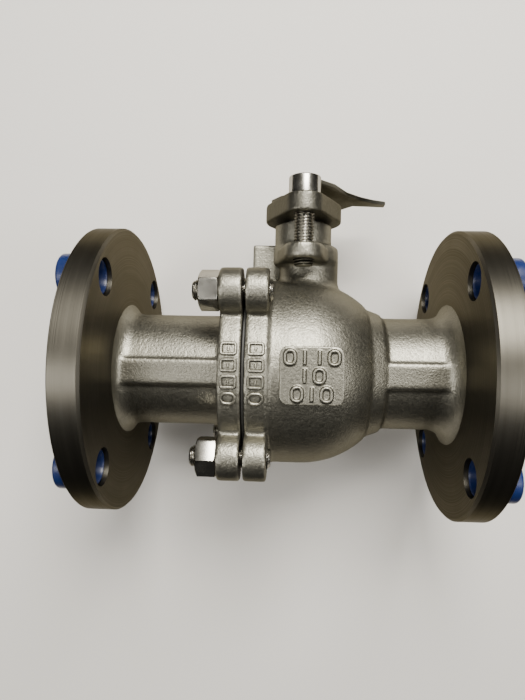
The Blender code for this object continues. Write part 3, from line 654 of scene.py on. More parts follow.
def make_finishes():
    """Every group and material, once."""
    grain_group()
    lathe_group()
    wear_group()
    threaded_bar_tree()
    bead_marks_tree()
    castings = bpy.context.scene.valve_castings
    bolting = bpy.context.scene.valve_bolting
    trim = bpy.context.scene.valve_trim
    cast_skin("cast_skin", castings.steel)
    # A copy of the cast skin at 0.55 of its colour, painted shade for the gland flange.
    cast_skin("dark_skin", shaded(castings.steel, 0.55))
    turned_faces(castings.turned)
    tumbled_steel(bolting.bright)
    ground_bar(bolting.bright)
    sheared_plate(castings.steel)
    machined_ptfe("plain_ptfe", trim.ptfe)
    # PTFE at 0.06 of its colour, painted shade for the gasket deep in the joint gap.
    machined_ptfe("filled_ptfe", shaded(trim.ptfe, 0.06))
    moulded_plastic(trim.plastic)


# Geometry Nodes trees.

def geometry_tree(name, **numbers):
    """A tree that takes a mesh, a material and named numbers, with its tools."""
    tree = bpy.data.node_groups.new(name, "GeometryNodeTree")
    tree.interface.new_socket("Geometry", in_out="INPUT", socket_type="NodeSocketGeometry")
    tree.interface.new_socket("Geometry", in_out="OUTPUT", socket_type="NodeSocketGeometry")
    tree.interface.new_socket("Finish", in_out="INPUT", socket_type="NodeSocketMaterial")
    for label, value in numbers.items():
        kind = "NodeSocketInt" if isinstance(value, int) else "NodeSocketFloat"
        shown = label.replace("_", " ")
        socket = tree.interface.new_socket(shown, in_out="INPUT", socket_type=kind)
        socket.default_value = value
    entry = tree.nodes.new("NodeGroupInput")
    leave = tree.nodes.new("NodeGroupOutput")
    return tree, Nodes(tree), entry.outputs, leave.inputs


def end_tree(nodes, given, out, geometry):
    """Finish a tree with real faces that carry the given material."""
    real = nodes.add("GeometryNodeRealizeInstances", {}, Geometry=geometry)
    painted = nodes.add("GeometryNodeSetMaterial", {}, Geometry=real, Material=given["Finish"])
    nodes.tree.links.new(painted, out["Geometry"])


def threaded_bar_tree():
    """A round bar along Z with a pointed thread along its whole length and chamfered ends."""
    tree, nodes, given, out = geometry_tree(
        "threaded_bar", Radius=5 * MM, Pitch=1.5 * MM, Depth=0.9 * MM, Length=30 * MM,
        Chamfer=1 * MM, Around=40, Along=160)
    bar = nodes.tree.nodes.new("GeometryNodeMeshCylinder")
    bar.fill_type = "TRIANGLE_FAN"
    for label, source in (("Vertices", "Around"), ("Side Segments", "Along"), ("Depth", "Length")):
        tree.links.new(given[source], bar.inputs[label])
    bar.inputs["Radius"].default_value = 1.0
    place = nodes.add("GeometryNodeInputPosition")
    split = nodes.tree.nodes.new("ShaderNodeSeparateXYZ")
    tree.links.new(place, split.inputs[0])
    about = nodes.math("ARCTAN2", split.outputs["Y"], split.outputs["X"])
    turn = nodes.math("DIVIDE", about, FULL_TURN)
    advance = nodes.math("DIVIDE", split.outputs["Z"], given["Pitch"])
    phase = nodes.math("FRACT", nodes.math("SUBTRACT", advance, turn))
    ramp = nodes.math("ABSOLUTE", nodes.math("MULTIPLY_ADD", phase, 2.0, -1.0))
    crest = nodes.math("MINIMUM", nodes.math("MULTIPLY", ramp, 1.15), 1.0)
    cut_in = nodes.math("MULTIPLY", nodes.math("SUBTRACT", 1.0, crest), given["Depth"])
    ridge = nodes.math("SUBTRACT", given["Radius"], cut_in)
    half = nodes.math("MULTIPLY", given["Length"], 0.5)
    to_end = nodes.math("SUBTRACT", half, nodes.math("ABSOLUTE", split.outputs["Z"]))
    taper = nodes.math("ADD", nodes.math("SUBTRACT", given["Radius"], given["Chamfer"]), to_end)
    radius = nodes.math("MINIMUM", ridge, taper)
    spread = nodes.add("ShaderNodeCombineXYZ", {}, X=radius, Y=radius, Z=1.0)
    moved = nodes.add("ShaderNodeVectorMath", {"operation": "MULTIPLY"}, _0=place, _1=spread)
    shaped = nodes.add("GeometryNodeSetPosition", {}, Geometry=bar.outputs["Mesh"], Position=moved)
    end_tree(nodes, given, out, shaped)
    return tree


def bead_marks_tree():
    """A bead bent to a rounded rectangle, or to a straight bar, on each given point.

    The points lie in front of the X axis. Curl turns each mark about X to face out from it.
    """
    tree, nodes, given, out = geometry_tree(
        "bead_marks", Width=6 * MM, Height=5 * MM, Corner=1 * MM, Bead=0.5 * MM, Curl=1.0, Ring=1)
    frame_line = nodes.add("GeometryNodeCurvePrimitiveQuadrilateral", {}, Width=given["Width"],
                           Height=given["Height"])
    rounded = nodes.add("GeometryNodeFilletCurve", {"mode": "POLY"}, Curve=frame_line,
                        Radius=given["Corner"], Count=5)
    half = nodes.math("MULTIPLY", given["Height"], 0.5)
    up = nodes.add("ShaderNodeCombineXYZ", {}, X=0.0, Y=half, Z=0.0)
    down = nodes.add("ShaderNodeVectorMath", {"operation": "SCALE"}, _0=up, Scale=-1.0)
    straight = nodes.add("GeometryNodeCurvePrimitiveLine", {}, Start=down, End=up)
    line = nodes.add("GeometryNodeSwitch", {"input_type": "GEOMETRY"}, Switch=given["Ring"],
                     False_=straight, True_=rounded)
    section = nodes.add("GeometryNodeCurvePrimitiveCircle", {}, Resolution=10, Radius=given["Bead"])
    bead = nodes.add("GeometryNodeCurveToMesh", {}, Curve=line, Profile_Curve=section,
                     Fill_Caps=True)
    upright = nodes.add("GeometryNodeTransform", {}, Geometry=bead, Rotation=(math.pi / 2, 0, 0))
    place = nodes.add("GeometryNodeInputPosition")
    split = nodes.tree.nodes.new("ShaderNodeSeparateXYZ")
    tree.links.new(place, split.inputs[0])
    forward = nodes.math("MULTIPLY", split.outputs["Y"], -1.0)
    about = nodes.math("ARCTAN2", split.outputs["Z"], forward)
    lean = nodes.math("MULTIPLY", about, given["Curl"])
    back = nodes.math("MULTIPLY", lean, -1.0)
    facing = nodes.add("ShaderNodeCombineXYZ", {}, X=back, Y=0.0, Z=0.0)
    spread = nodes.add("GeometryNodeInstanceOnPoints", {}, Points=given["Geometry"],
                       Instance=upright, Rotation=facing)
    end_tree(nodes, given, out, spread)
    return tree


def grow(name, tree_name, places, **values):
    """Run a tree on a set of points and keep the mesh that it makes."""
    mesh = bpy.data.meshes.new(name)
    mesh.from_pydata(places, [], [])
    obj = placed(name, mesh)
    tree = bpy.data.node_groups[tree_name]
    modifier = obj.modifiers.new(tree_name, "NODES")
    modifier.node_group = tree
    values["Finish"] = finish_named(CASTING_FINISHES[0])
    for item in tree.interface.items_tree:
        label = item.name.replace(" ", "_")
        if item.in_out == "INPUT" and label in values:
            modifier[item.identifier] = values[label]
    return bake(obj)


# Castings.

def joint_outline(steps=24):
    """Outline of a joint flange: a disc with a round lobe at each stud, as (y, z)."""
    bolt_r = STUD_CIRCLE_R
    lobe_turn = math.degrees(math.acos(
        (bolt_r ** 2 + JOINT_LOBE_R ** 2 - JOINT_R ** 2) / (2 * bolt_r * JOINT_LOBE_R)))
    disc_turn = math.degrees(math.acos(
        (bolt_r ** 2 + JOINT_R ** 2 - JOINT_LOBE_R ** 2) / (2 * bolt_r * JOINT_R)))
    outline = []
    for stud, centre in enumerate(round_about(bolt_r)):
        angle = 45 + 90 * stud
        outline += arc(centre, JOINT_LOBE_R, angle - 180 + lobe_turn, angle + 180 - lobe_turn,
                       steps)
        outline += arc((0, 0), JOINT_R, angle + disc_turn, angle + 90 - disc_turn, steps)[1:-1]
    return outline


def lozenge(middle_r, ear_r, ear_offset, steps=16):
    """Outline of a round middle with an ear each way along Y, joined by tangent lines."""
    lean = math.degrees(math.acos((middle_r - ear_r) / ear_offset))
    right = arc((0, 0), middle_r, -(90 - lean), 90 - lean, steps)
    back = arc((0, ear_offset), ear_r, 90 - lean, 90 + lean, 2 * steps)
    left = arc((0, 0), middle_r, 90 + lean, 270 - lean, steps)
    front = arc((0, -ear_offset), ear_r, 270 - lean, 270 + lean, 2 * steps)
    return right + back + left + front


def hub_profile(face_x, outwards, fillet):
    """Profile of the cast hub behind a pipe flange, from inside the disc to the tube."""
    back_x = face_x - outwards * (RAISED_FACE_H + FLANGE_THICK)
    core_x = back_x + outwards * FLANGE_THICK / 2
    sunk = 0.6 * MM
    hub_r = TUBE_R + fillet
    centre = (back_x - outwards * (fillet - sunk), hub_r)
    start, end = (180, 270) if outwards < 0 else (0, -90)
    return [(core_x, 0), (core_x, hub_r)] + arc(centre, fillet, start, end, 12)


def ribs(low_x, high_x):
    """Flat ribs along the front and back of a tube, standing proud of it."""
    half = RIB_WIDTH / 2
    inside = (BORE_R + TUBE_R) / 2
    return (block((low_x, -RIB_REACH, -half), (high_x, -inside, half)),
            block((low_x, inside, -half), (high_x, RIB_REACH, half)))


def pipe_flange(face_x, outwards):
    """Turned disc of a pipe flange with its raised face, its grooves and its bolt holes."""
    step_x = face_x - outwards * RAISED_FACE_H
    back_x = step_x - outwards * FLANGE_THICK
    edge = 0.5 * MM
    bevel = 1.2 * MM
    profile = [(face_x, 0)]
    groove_r = BORE_R + 2 * MM
    while groove_r < RAISED_FACE_R - 2 * MM:
        profile += [(face_x, groove_r),
                    (face_x - outwards * GROOVE_DEPTH, groove_r + GROOVE_PITCH / 2)]
        groove_r += GROOVE_PITCH
    profile += [(face_x, groove_r), (face_x, RAISED_FACE_R - edge),
                (face_x - outwards * edge, RAISED_FACE_R), (step_x, RAISED_FACE_R),
                (step_x, FLANGE_R - edge), (step_x - outwards * edge, FLANGE_R),
                (back_x + outwards * bevel, FLANGE_R), (back_x, FLANGE_R - bevel), (back_x, 0)]
    disc = turned("pipe_flange", profile, segments=192, finish=1)
    low, high = sorted((face_x + outwards * OVERLAP, back_x - outwards * OVERLAP))
    cut(disc, *[rod(BOLT_HOLE_R, low, high, "X", centre) for centre in round_about(PITCH_CIRCLE_R)])
    return disc


def stud_drills(low_x, high_x):
    """Clearance holes for the four joint studs."""
    return [rod(STUD_R + GAP, low_x - OVERLAP, high_x + OVERLAP, "X", centre)
            for centre in round_about(STUD_CIRCLE_R)]


def make_end_cap():
    """End cap: cast tube and joint flange, with a turned pipe flange, bore and spigot."""
    sizes = bpy.context.scene.valve_castings
    root = CAP_ROOT_FILLET
    profile = hub_profile(FACE_IN_X, -1, CAP_FILLET)
    profile += arc((CAP_BACK_X - root, TUBE_R + root), root, 270, 350, 6)
    profile += [(CAP_BACK_X + OVERLAP, TUBE_R + root), (CAP_BACK_X + 3 * MM, CAVITY_R),
                (CAP_FACE_X + 2 * MM, CAVITY_R), (CAP_FACE_X + 2 * MM, 0)]
    cap = turned("end_cap_surface", profile, segments=192)
    flange = extruded("flange", joint_outline(), CAP_BACK_X, CAP_FACE_X + JOINT_FACE_SPARE, "X",
                      JOINT_FACE_BEVEL)
    heap(cap, flange, *ribs(FACE_IN_X + RAISED_FACE_H + FLANGE_THICK / 2, CAP_BACK_X + OVERLAP))
    cast(cap, sizes.grain, sizes.softness, sizes.unevenness)
    cut(cap, block((CAP_FACE_X, -FLANGE_R, -FLANGE_R), (0, FLANGE_R, FLANGE_R), finish=1))
    spigot_r = CAVITY_R - GAP
    join(cap, rod(spigot_r, CAP_FACE_X - MM, SPIGOT_X, "X", chamfer=0.6 * MM, segments=160),
         pipe_flange(FACE_IN_X, -1))
    bore = [(FACE_IN_X - OVERLAP, 0), (FACE_IN_X - OVERLAP, BORE_R + MM), (FACE_IN_X + MM, BORE_R),
            (-SEAT_POCKET_X, BORE_R), (-SEAT_POCKET_X, SEAT_POCKET_R),
            (SPIGOT_X + OVERLAP, SEAT_POCKET_R), (SPIGOT_X + OVERLAP, 0)]
    cut(cap, turned("bore", bore, segments=160, finish=1), *stud_drills(CAP_BACK_X, CAP_FACE_X))
    join(cap, rim_marks(CAP_BACK_X, CAP_FACE_X))
    hand_over(cap, "end_cap", "cast_steel", *CASTING_FINISHES)


def loft(name, rings, finish=0):
    """Join closed rings of points, all with the same count, into a solid with flat ends."""
    bm = bmesh.new()
    rows = [[bm.verts.new(point) for point in ring] for ring in rings]
    for low, high in zip(rows, rows[1:]):
        for i in range(len(low)):
            j = (i + 1) % len(low)
            bm.faces.new((low[i], low[j], high[j], high[i]))
    bm.faces.new(rows[0])
    bm.faces.new(rows[-1])
    return to_object(name, bm, finish)


def neck_blank():
    """Lower neck, an oval wider towards the outlet, running out onto the bulb."""
    rings = []
    for lift, flare in NECK_FOOT:
        ring = []
        for x, y in arc((0, 0), 1, 0, 360, 96)[:-1]:
            x *= (NECK_RIGHT if x > 0 else NECK_LEFT) + flare * NECK_FLARE_X
            y *= NECK_FRONT + flare * NECK_FLARE_Y
            if lift is None:
                z = CHAMBER_Z + MM
            else:
                z = math.sqrt(BULB_R ** 2 - x * x - y * y) + lift
            ring.append((x, y, z))
        rings.append(ring)
    return loft("neck", rings)


def marking_pad():
    """Flat raised pad on the front of the bulb."""
    outline = []
    corners = [(PAD_X[1], PAD_Z[1], -1, -1), (PAD_X[0], PAD_Z[1], 1, -1),
               (PAD_X[0], PAD_Z[0], 1, 1), (PAD_X[1], PAD_Z[0], -1, 1)]
    for corner, (x, z, step_x, step_z) in enumerate(corners):
        centre = (x + step_x * PAD_CORNER, z + step_z * PAD_CORNER)
        outline += arc(centre, PAD_CORNER, 90 * corner, 90 * corner + 90, 8)
    pad = extruded("pad", outline, CAVITY_R + 4 * MM, PAD_FACE, bevel=0.45 * MM, steps=3)
    pad.data.transform(Matrix.Rotation(math.radians(90), 4, "X"))
    return pad


def pad_marks():
    """Three rows of raised rings and bars on the pad."""
    places = {0: [], 1: []}
    for row, marks in enumerate(PAD_ROWS):
        z = (PAD_Z[0] + PAD_Z[1]) / 2 + (1 - row) * PAD_ROW_PITCH
        for i, ring in enumerate(marks):
            x = (PAD_X[0] + PAD_X[1]) / 2 + (i - (len(marks) - 1) / 2) * PAD_MARK_PITCH
            places[ring].append((x, -PAD_FACE - PAD_MARK_LIFT, z))
    sizes = {"Width": 4.6 * MM, "Height": 6.2 * MM, "Corner": 2.1 * MM, "Bead": 0.8 * MM,
             "Curl": 0.0}
    return [grow("pad_marks", "bead_marks", places[ring], Ring=bool(ring), **sizes)
            for ring in (0, 1)]


def rim_marks(back_x, face_x):
    """Plain frames round a bar, and an oval ring, down the front of a joint flange's rim."""
    x = (back_x + face_x) / 2
    places = []
    for i in range(4):
        turn = (FIRST_RIM_MARK - i) * RIM_MARK_PITCH / JOINT_R
        face_r = JOINT_R + RIM_MARK_LIFT
        places.append((x, -face_r * math.cos(turn), face_r * math.sin(turn)))
    frames = grow("rim_marks", "bead_marks", places[:3], Width=6.6 * MM, Height=5.0 * MM, Corner=MM,
                  Bead=0.75 * MM, Curl=1.0, Ring=True)
    last = grow("rim_marks", "bead_marks", places[3:], Width=6.4 * MM, Height=4.8 * MM,
                Corner=2.3 * MM, Bead=0.75 * MM, Curl=1.0, Ring=True)
    bars = grow("rim_marks", "bead_marks", places[:3], Height=1.8 * MM, Bead=0.6 * MM, Curl=1.0,
                Ring=False)
    join(frames, last, bars)
    return frames


def stop_lug():
    """Cast stop lug behind the neck, its upper part reaching over the joint."""
    low, high = LUG_Z
    clear_x = BODY_FACE_X + OVERLAP
    foot = block((clear_x, LUG_Y[0], low), (LUG_END_X, LUG_Y[1], high))
    reach = block((BODY_LOW.x, LUG_Y[0], BULB_R + LUG_REACH_Z),
                  (clear_x + LUG_REACH_Z, LUG_Y[1], high))
    return foot, reach


def make_body():
    """Body: cast bulb, tube, neck, lug and pad, with a turned pipe flange and bores."""
    sizes = bpy.context.scene.valve_castings
    ring_x = math.sqrt(BULB_R ** 2 - (TUBE_R + SHOULDER_START) ** 2)
    ring_end_x = ring_x + SHOULDER_RING_X
    blank_x = BODY_FACE_X - JOINT_FACE_SPARE
    profile = hub_profile(FACE_OUT_X, 1, BODY_FILLET)
    profile += [(ring_end_x + OVERLAP, TUBE_R), (ring_end_x, TUBE_R + SHOULDER_RING_LOW),
                (ring_x, TUBE_R + SHOULDER_RING_TOP)]
    profile += arc((0, 0), BULB_R, math.degrees(math.acos(ring_x / BULB_R)), 90, 24)
    profile += [(blank_x, BULB_R), (blank_x, 0)]
    body = turned("body_casting_surface", profile, segments=192)
    flange = extruded("flange", joint_outline(), blank_x, BODY_BACK_X, "X", JOINT_FACE_BEVEL)
    collar_r = (NECK_RIGHT + COLLAR_LEFT) / 2
    collar = extruded("collar", arc(((NECK_RIGHT - COLLAR_LEFT) / 2, 0), collar_r, 0, 360, 96)[:-1],
                      CHAMBER_Z - OVERLAP, CHAMBER_Z + COLLAR_H, bevel=2.2 * MM)
    ears = extruded("ears", lozenge(PACKING_BOX_R, EAR_R, SCREW_Y), CHAMBER_Z, CHAMBER_Z + EAR_H,
                    bevel=0.8 * MM)
    box = rod(PACKING_BOX_R, CHAMBER_Z, BOX_TOP_Z + 2 * MM, segments=128)
    heap(body, flange, neck_blank(), collar, ears, box,
         *ribs(ring_x, FACE_OUT_X - RAISED_FACE_H - FLANGE_THICK / 2))
    cast(body, sizes.grain, sizes.softness, sizes.unevenness)
    far = 2 * FLANGE_R
    cut(body, block((-far, -far, -far), (BODY_FACE_X, far, far), finish=1),
        block((-far, -far, BOX_TOP_Z), (far, far, far), finish=1))
    lug, reach = stop_lug()
    heap(lug, reach)
    cast(lug, sizes.grain * 0.7, sizes.softness, sizes.unevenness)
    pad = heap(marking_pad(), *pad_marks())
    cast(pad, sizes.grain / 3, 2, 0)
    join(body, lug, pipe_flange(FACE_OUT_X, 1), pad, rim_marks(BODY_FACE_X, BODY_BACK_X))
    pocket_angle = math.degrees(math.asin(SEAT_POCKET_R / CAVITY_R))
    cavity = [(BODY_FACE_X - OVERLAP, 0), (BODY_FACE_X - OVERLAP, CAVITY_R)]
    cavity += arc((0, 0), CAVITY_R, 90, pocket_angle, 16)
    cavity += [(SEAT_POCKET_X, SEAT_POCKET_R), (SEAT_POCKET_X, BORE_R), (FACE_OUT_X - MM, BORE_R),
               (FACE_OUT_X + OVERLAP, BORE_R + MM), (FACE_OUT_X + OVERLAP, 0)]
    cut(body, turned("cavity", cavity, segments=160, finish=1), *neck_drills(),
        *stud_drills(BODY_FACE_X, BODY_BACK_X))
    hand_over(body, "body_casting", "cast_steel", *CASTING_FINISHES)


def neck_drills():
    """Stem recess, stem hole, packing chamber and the two tapped ear holes."""
    drills = [rod(STEM_HIGH_R + GAP, BALL_R * 0.8, WASHER_HIGH.z + GAP),
              rod(STEM_R + GAP, 0.9 * BULB_R, CHAMBER_Z + MM),
              rod(BUSH_HIGH.y + GAP, CHAMBER_Z, BOX_TOP_Z + MM)]
    for side in (-1, 1):
        drills.append(rod(STUD_R + GAP, CHAMBER_Z - 2 * MM, CHAMBER_Z + COLLAR_H,
                          centre=(0, side * SCREW_Y)))
    return drills


# Bolting.

def threaded_bar(name, length, chamfer):
    """A bar of the bolting's thread, its middle at the origin."""
    sizes = bpy.context.scene.valve_bolting
    along = round(length / sizes.pitch * THREAD_STEPS)
    return grow(name, "threaded_bar", [], Radius=STUD_R, Pitch=sizes.pitch, Depth=sizes.depth,
                Length=length, Chamfer=chamfer, Around=THREAD_SIDES, Along=along)


def make_stud(number):
    """One joint stud, threaded from end to end."""
    node = f"joint_stud_{number}"
    low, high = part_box(node)
    length = high.x - low.x
    stud = threaded_bar(f"{node}_surface", length, 1.2 * MM)
    turn = Matrix.Rotation(math.radians(90), 4, "Y")
    stud.data.transform(Matrix.Translation((low + high) / 2) @ turn)
    hand_over(stud, node, "machined_steel", "ground_bar")


def make_nut(number):
    """One joint nut: a chamfered hexagon round its stud."""
    sizes = bpy.context.scene.valve_bolting
    node = f"joint_nut_{number}"
    low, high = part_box(node)
    centre = (low + high) / 2
    half = (high.x - low.x) / 2
    turn = NUT_TURNS[number - 1]
    nut = extruded(f"{node}_surface", hexagon(sizes.nut_flats, turn), -half, half, "X")
    corner_r = sizes.nut_flats / 2 / math.cos(math.radians(30))
    profile = [(-half, 0), (-half, corner_r - NUT_INSET), (NUT_DROP - half, corner_r + GAP),
               (half - NUT_DROP / 2, corner_r + GAP), (half, corner_r - NUT_INSET / 2), (half, 0)]
    combine(nut, turned("dome", profile, segments=96), "INTERSECT")
    cut(nut, rod(STUD_R + GAP, -half - MM, half + MM, "X", chamfer=0))
    soften = nut.modifiers.new("Edges", "BEVEL")
    soften.width = 0.3 * MM
    soften.segments = 2
    soften.angle_limit = math.radians(28)
    bake(nut)
    nut.data.transform(Matrix.Translation(centre))
    hand_over(nut, node, "bright_steel", "tumbled_steel")


def make_gland_screw(node, side):
    """Socket-head screw with a polished head and a threaded shank, its end below the ears painted
    dark as shade.
    """
    low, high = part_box(node)
    head_z = GLAND_HIGH.z + GAP
    edge = 0.8 * MM
    profile = [(head_z, 0), (head_z, SCREW_HEAD_R - 0.3 * MM), (head_z + 0.3 * MM, SCREW_HEAD_R)]
    profile += arc((high.z - edge, SCREW_HEAD_R - edge), edge, 90, 0, 5) + [(high.z, 0)]
    screw = turned(f"{node}_surface", profile, "Z", 128)
    socket = extruded("socket", hexagon(HEX_SOCKET_FLATS), high.z - HEX_SOCKET_DEPTH, high.z + MM)
    cone = turned("cone", [(high.z - 0.5 * MM, 0), (high.z - 0.5 * MM, 4.3 * MM),
                           (high.z + MM, 5.8 * MM), (high.z + MM, 0)], "Z", 64)
    cut(screw, socket, cone)
    length = head_z + MM - low.z
    shank = threaded_bar("shank", length, 0.8 * MM)
    shank.data.transform(Matrix.Translation((0, 0, low.z + length / 2)))
    join(screw, shank)
    screw.data.transform(Matrix.Translation((0, side * SCREW_Y, 0)))
    # Painted shade: faces below the ears take the dark plate finish.
    for face in screw.data.polygons:
        face.material_index = int(face.center.z < CHAMBER_Z + MM)
    hand_over(screw, node, "bright_steel", "tumbled_steel", "sheared_plate")


def make_gland_flange():
    """Cast gland flange with its stem hole and screw holes."""
    sizes = bpy.context.scene.valve_castings
    outline = lozenge(GLAND_HIGH.x, EAR_R, SCREW_Y)
    gland = extruded("gland_flange_surface", outline, GLAND_LOW.z, GLAND_HIGH.z)
    cast(gland, sizes.grain * 0.6, sizes.softness + 3, sizes.unevenness)
    cut(gland, rod(STEM_R + 2 * GAP, GLAND_LOW.z - MM, GLAND_HIGH.z + MM, segments=96))
    for side in (-1, 1):
        cut(gland, rod(STUD_R + GAP, GLAND_LOW.z - MM, GLAND_HIGH.z + MM,
                       centre=(0, side * SCREW_Y)))
    # The gland flange wears the darker copy of the cast skin as painted shade.
    hand_over(gland, "gland_flange", "cast_steel", "dark_skin")


# Stem, ball, seals.

def make_stem():
    """Stem with its tongue, shoulder and flatted top."""
    shoulder_r = STEM_HIGH_R
    step_z = PLATE_LOW.z - GAP
    shoulder_top = WASHER_LOW.z - GAP
    shoulder_z = shoulder_top - STEM_SHOULDER_H
    edge = 0.5 * MM
    profile = [(shoulder_z, 0), (shoulder_z, shoulder_r - edge), (shoulder_z + edge, shoulder_r),
               (shoulder_top - edge, shoulder_r), (shoulder_top, shoulder_r - edge),
               (shoulder_top, STEM_R), (step_z - edge, STEM_R), (step_z, STEM_R - edge),
               (step_z, STEM_TOP_R),
               (STEM_HIGH.z - edge, STEM_TOP_R), (STEM_HIGH.z, STEM_TOP_R - edge), (STEM_HIGH.z, 0)]
    stem = turned("stem_surface", profile, "Z", 96)
    half = TONGUE_HALF
    reach = shoulder_r - 3 * MM
    join(stem, block((-half, -reach, STEM_LOW.z), (half, reach, shoulder_z + MM), 0.4 * MM))
    far = 2 * STEM_R
    for side in (-1, 1):
        near, wide = sorted((side * STEM_FLATS / 2, side * far))
        cut(stem, block((near, -far, step_z), (wide, far, STEM_HIGH.z + MM)))
    hand_over(stem, "stem", "machined_steel", "ground_bar")


def make_stop_plate():
    """Stop plate of the frame with its edges rounded."""
    source = frame["nodes"]["stop_plate"].data.copy()
    plate = placed("stop_plate_surface", source)
    bm = bmesh.new()
    bm.from_mesh(source)
    bmesh.ops.remove_doubles(bm, verts=bm.verts, dist=0.01 * MM)
    bmesh.ops.dissolve_limit(bm, angle_limit=math.radians(1), verts=bm.verts, edges=bm.edges)
    bm.to_mesh(source)
    bm.free()
    edges = plate.modifiers.new("Edges", "BEVEL")
    edges.width = 0.45 * MM
    edges.segments = 3
    edges.angle_limit = math.radians(40)
    bake(plate)
    hand_over(plate, "stop_plate", "cast_steel", "sheared_plate")


def make_ball():
    """Polished ball with its through bore and stem slot."""
    bore_angle = math.degrees(math.asin(BORE_R / BALL_R))
    profile = arc((0, 0), BALL_R, bore_angle, 180 - bore_angle, 64)
    ball = turned("ball_surface", profile, segments=160)
    half = TONGUE_HALF + GAP
    cut(ball, block((-half, -BALL_R, STEM_LOW.z - GAP), (half, BALL_R, BALL_R + MM)))
    hand_over(ball, "ball", "bright_steel", "tumbled_steel")


def make_seat(node, side):
    """Seat ring with the bowl that the ball lies in."""
    low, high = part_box(node)
    near, far = sorted((abs(low.x), abs(high.x)))
    bowl_r = BALL_R + GAP
    hole_r = BORE_R + 0.4 * MM
    lip_angle = math.degrees(math.acos(near / bowl_r))
    bore_angle = math.degrees(math.asin(hole_r / bowl_r))
    edge = 0.3 * MM
    profile = arc((0, 0), bowl_r, lip_angle, bore_angle, 12)
    profile += [(far, hole_r), (far, high.y - edge), (far - edge, high.y), (near + edge, high.y),
                (near, high.y - edge)]
    profile = [(side * along, radius) for along, radius in profile]
    seat = turned(f"{node}_surface", profile, segments=128)
    hand_over(seat, node, "white_ptfe", "plain_ptfe")


def make_ring(node, inner, axis, finish, slot, edge=0.25 * MM):
    """A square ring with broken edges, filling its node's box outside the inner radius."""
    low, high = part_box(node)
    start, end = (low.x, high.x) if axis == "X" else (low.z, high.z)
    outer = high.y
    profile = [(start, inner + edge), (start, outer - edge), (start + edge, outer),
               (end - edge, outer), (end, outer - edge), (end, inner + edge), (end - edge, inner),
               (start + edge, inner)]
    ring = turned(f"{node}_surface", profile, axis, 128)
    hand_over(ring, node, slot, finish)


def make_seals():
    """Seats, gasket, thrust washer, packing rings and gland bush."""
    make_seat("seat_ring_inlet", -1)
    make_seat("seat_ring_outlet", 1)
    # The gasket takes the near-black PTFE as painted shade in the joint gap.
    make_ring("body_gasket", CAVITY_R, "X", "filled_ptfe", "white_ptfe")
    make_ring("thrust_washer", STEM_R + GAP, "Z", "plain_ptfe", "white_ptfe")
    for number in (1, 2, 3):
        make_ring(f"packing_ring_{number}", STEM_R + GAP, "Z", "plain_ptfe", "white_ptfe")
    make_ring("gland_bush", STEM_R + GAP, "Z", "ground_bar", "machined_steel")


# Covers.

def make_cover(node, outwards):
    """Push-in cover: a crowned disc with a skirt, four arms and hollow pegs with buttons."""
    face_x = FACE_OUT_X if outwards > 0 else FACE_IN_X
    wall = 1.8 * MM
    soft = 0.5 * MM
    skirt_in = RAISED_FACE_R + 1.2 * MM
    skirt_out = skirt_in + wall
    edge = RAISED_FACE_H + 3.2 * MM
    crown = 2.6 * MM
    outer = [(GAP, skirt_in), (GAP, skirt_out)]
    outer += arc((edge - soft, skirt_out - soft), soft, 90, 45, 3)
    outer += [(edge + wall, skirt_in - wall)]
    top = []
    for step in range(1, 11):
        share = 1 - step / 10
        top.append((edge + wall + crown * (1 - share ** 2), (skirt_in - wall) * share))
    under = [(edge + crown * (1 - share ** 2), (skirt_in - wall) * share) for share in
             [step / 10 for step in range(11)]]
    cover = turned(f"{node}_surface", outer + top + under + [(edge - wall, skirt_in)], segments=160)
    peg_r = BOLT_HOLE_R - 0.4 * MM
    hollow_r = peg_r - 1.6 * MM
    button_h = 6.0 * MM
    button_r = 10.5 * MM
    lid = button_h - wall
    peg_end = -(FLANGE_THICK - 2 * MM)
    for number in range(4):
        profile = [(peg_end, hollow_r + soft), (peg_end, peg_r - soft), (peg_end + 2 * soft, peg_r),
                   (GAP, peg_r), (GAP, button_r), (lid, button_r)]
        profile += arc((button_h - wall, button_r - wall), wall, 90, 0, 6)
        profile += [(button_h, 0), (lid, 0), (lid, hollow_r), (peg_end + 2 * soft, hollow_r)]
        arm = turned("arm", profile, segments=72)
        arm.data.transform(Matrix.Translation((0, PITCH_CIRCLE_R, 0)))
        bar = block((2 * GAP, skirt_in + wall / 2, -6 * MM),
                    (2 * GAP + 2.5 * MM, PITCH_CIRCLE_R - hollow_r - MM, 6 * MM), 0.4 * MM)
        join(arm, bar)
        arm.data.transform(Matrix.Rotation(math.radians(45 + 90 * number), 4, "X"))
        join(cover, arm)
    place = Matrix.Translation((face_x - outwards * RAISED_FACE_H, 0, 0))
    if outwards < 0:
        place = place @ Matrix.Rotation(math.pi, 4, "Z")
    cover.data.transform(place)
    hand_over(cover, node, "blue_plastic", "moulded_plastic")


# Stage.

AMBIENT_LEVEL = 0.035
BACKDROP_LEVEL = 1.4
KEY_COLOUR = (1, 0.97, 0.90)
FILL_COLOUR = (1, 0.98, 0.93)
SHEET_COLOUR = (0.76, 0.735, 0.70, 1)
SHEET_HALF = (0.34, 0.28)
CAMERA_PLACE = (-0.0051, -0.2891, 0.0138)
CAMERA_TURN = (-0.054, -0.009, 0.019)
CAMERA_LENS = 27.55


def sheet_material():
    """Pale soft backing that is seen from its front only."""
    material = bpy.data.materials.new("pale_sheet")
    material.use_nodes = True
    tree = material.node_tree
    shader = tree.nodes["Principled BSDF"]
    shader.inputs["Base Color"].default_value = SHEET_COLOUR
    shader.inputs["Roughness"].default_value = 0.8
    clear = tree.nodes.new("ShaderNodeBsdfTransparent")
    side = tree.nodes.new("ShaderNodeNewGeometry")
    choose = tree.nodes.new("ShaderNodeMixShader")
    tree.links.new(side.outputs["Backfacing"], choose.inputs[0])
    tree.links.new(shader.outputs[0], choose.inputs[1])
    tree.links.new(clear.outputs[0], choose.inputs[2])
    tree.links.new(choose.outputs[0], tree.nodes["Material Output"].inputs["Surface"])
    return material


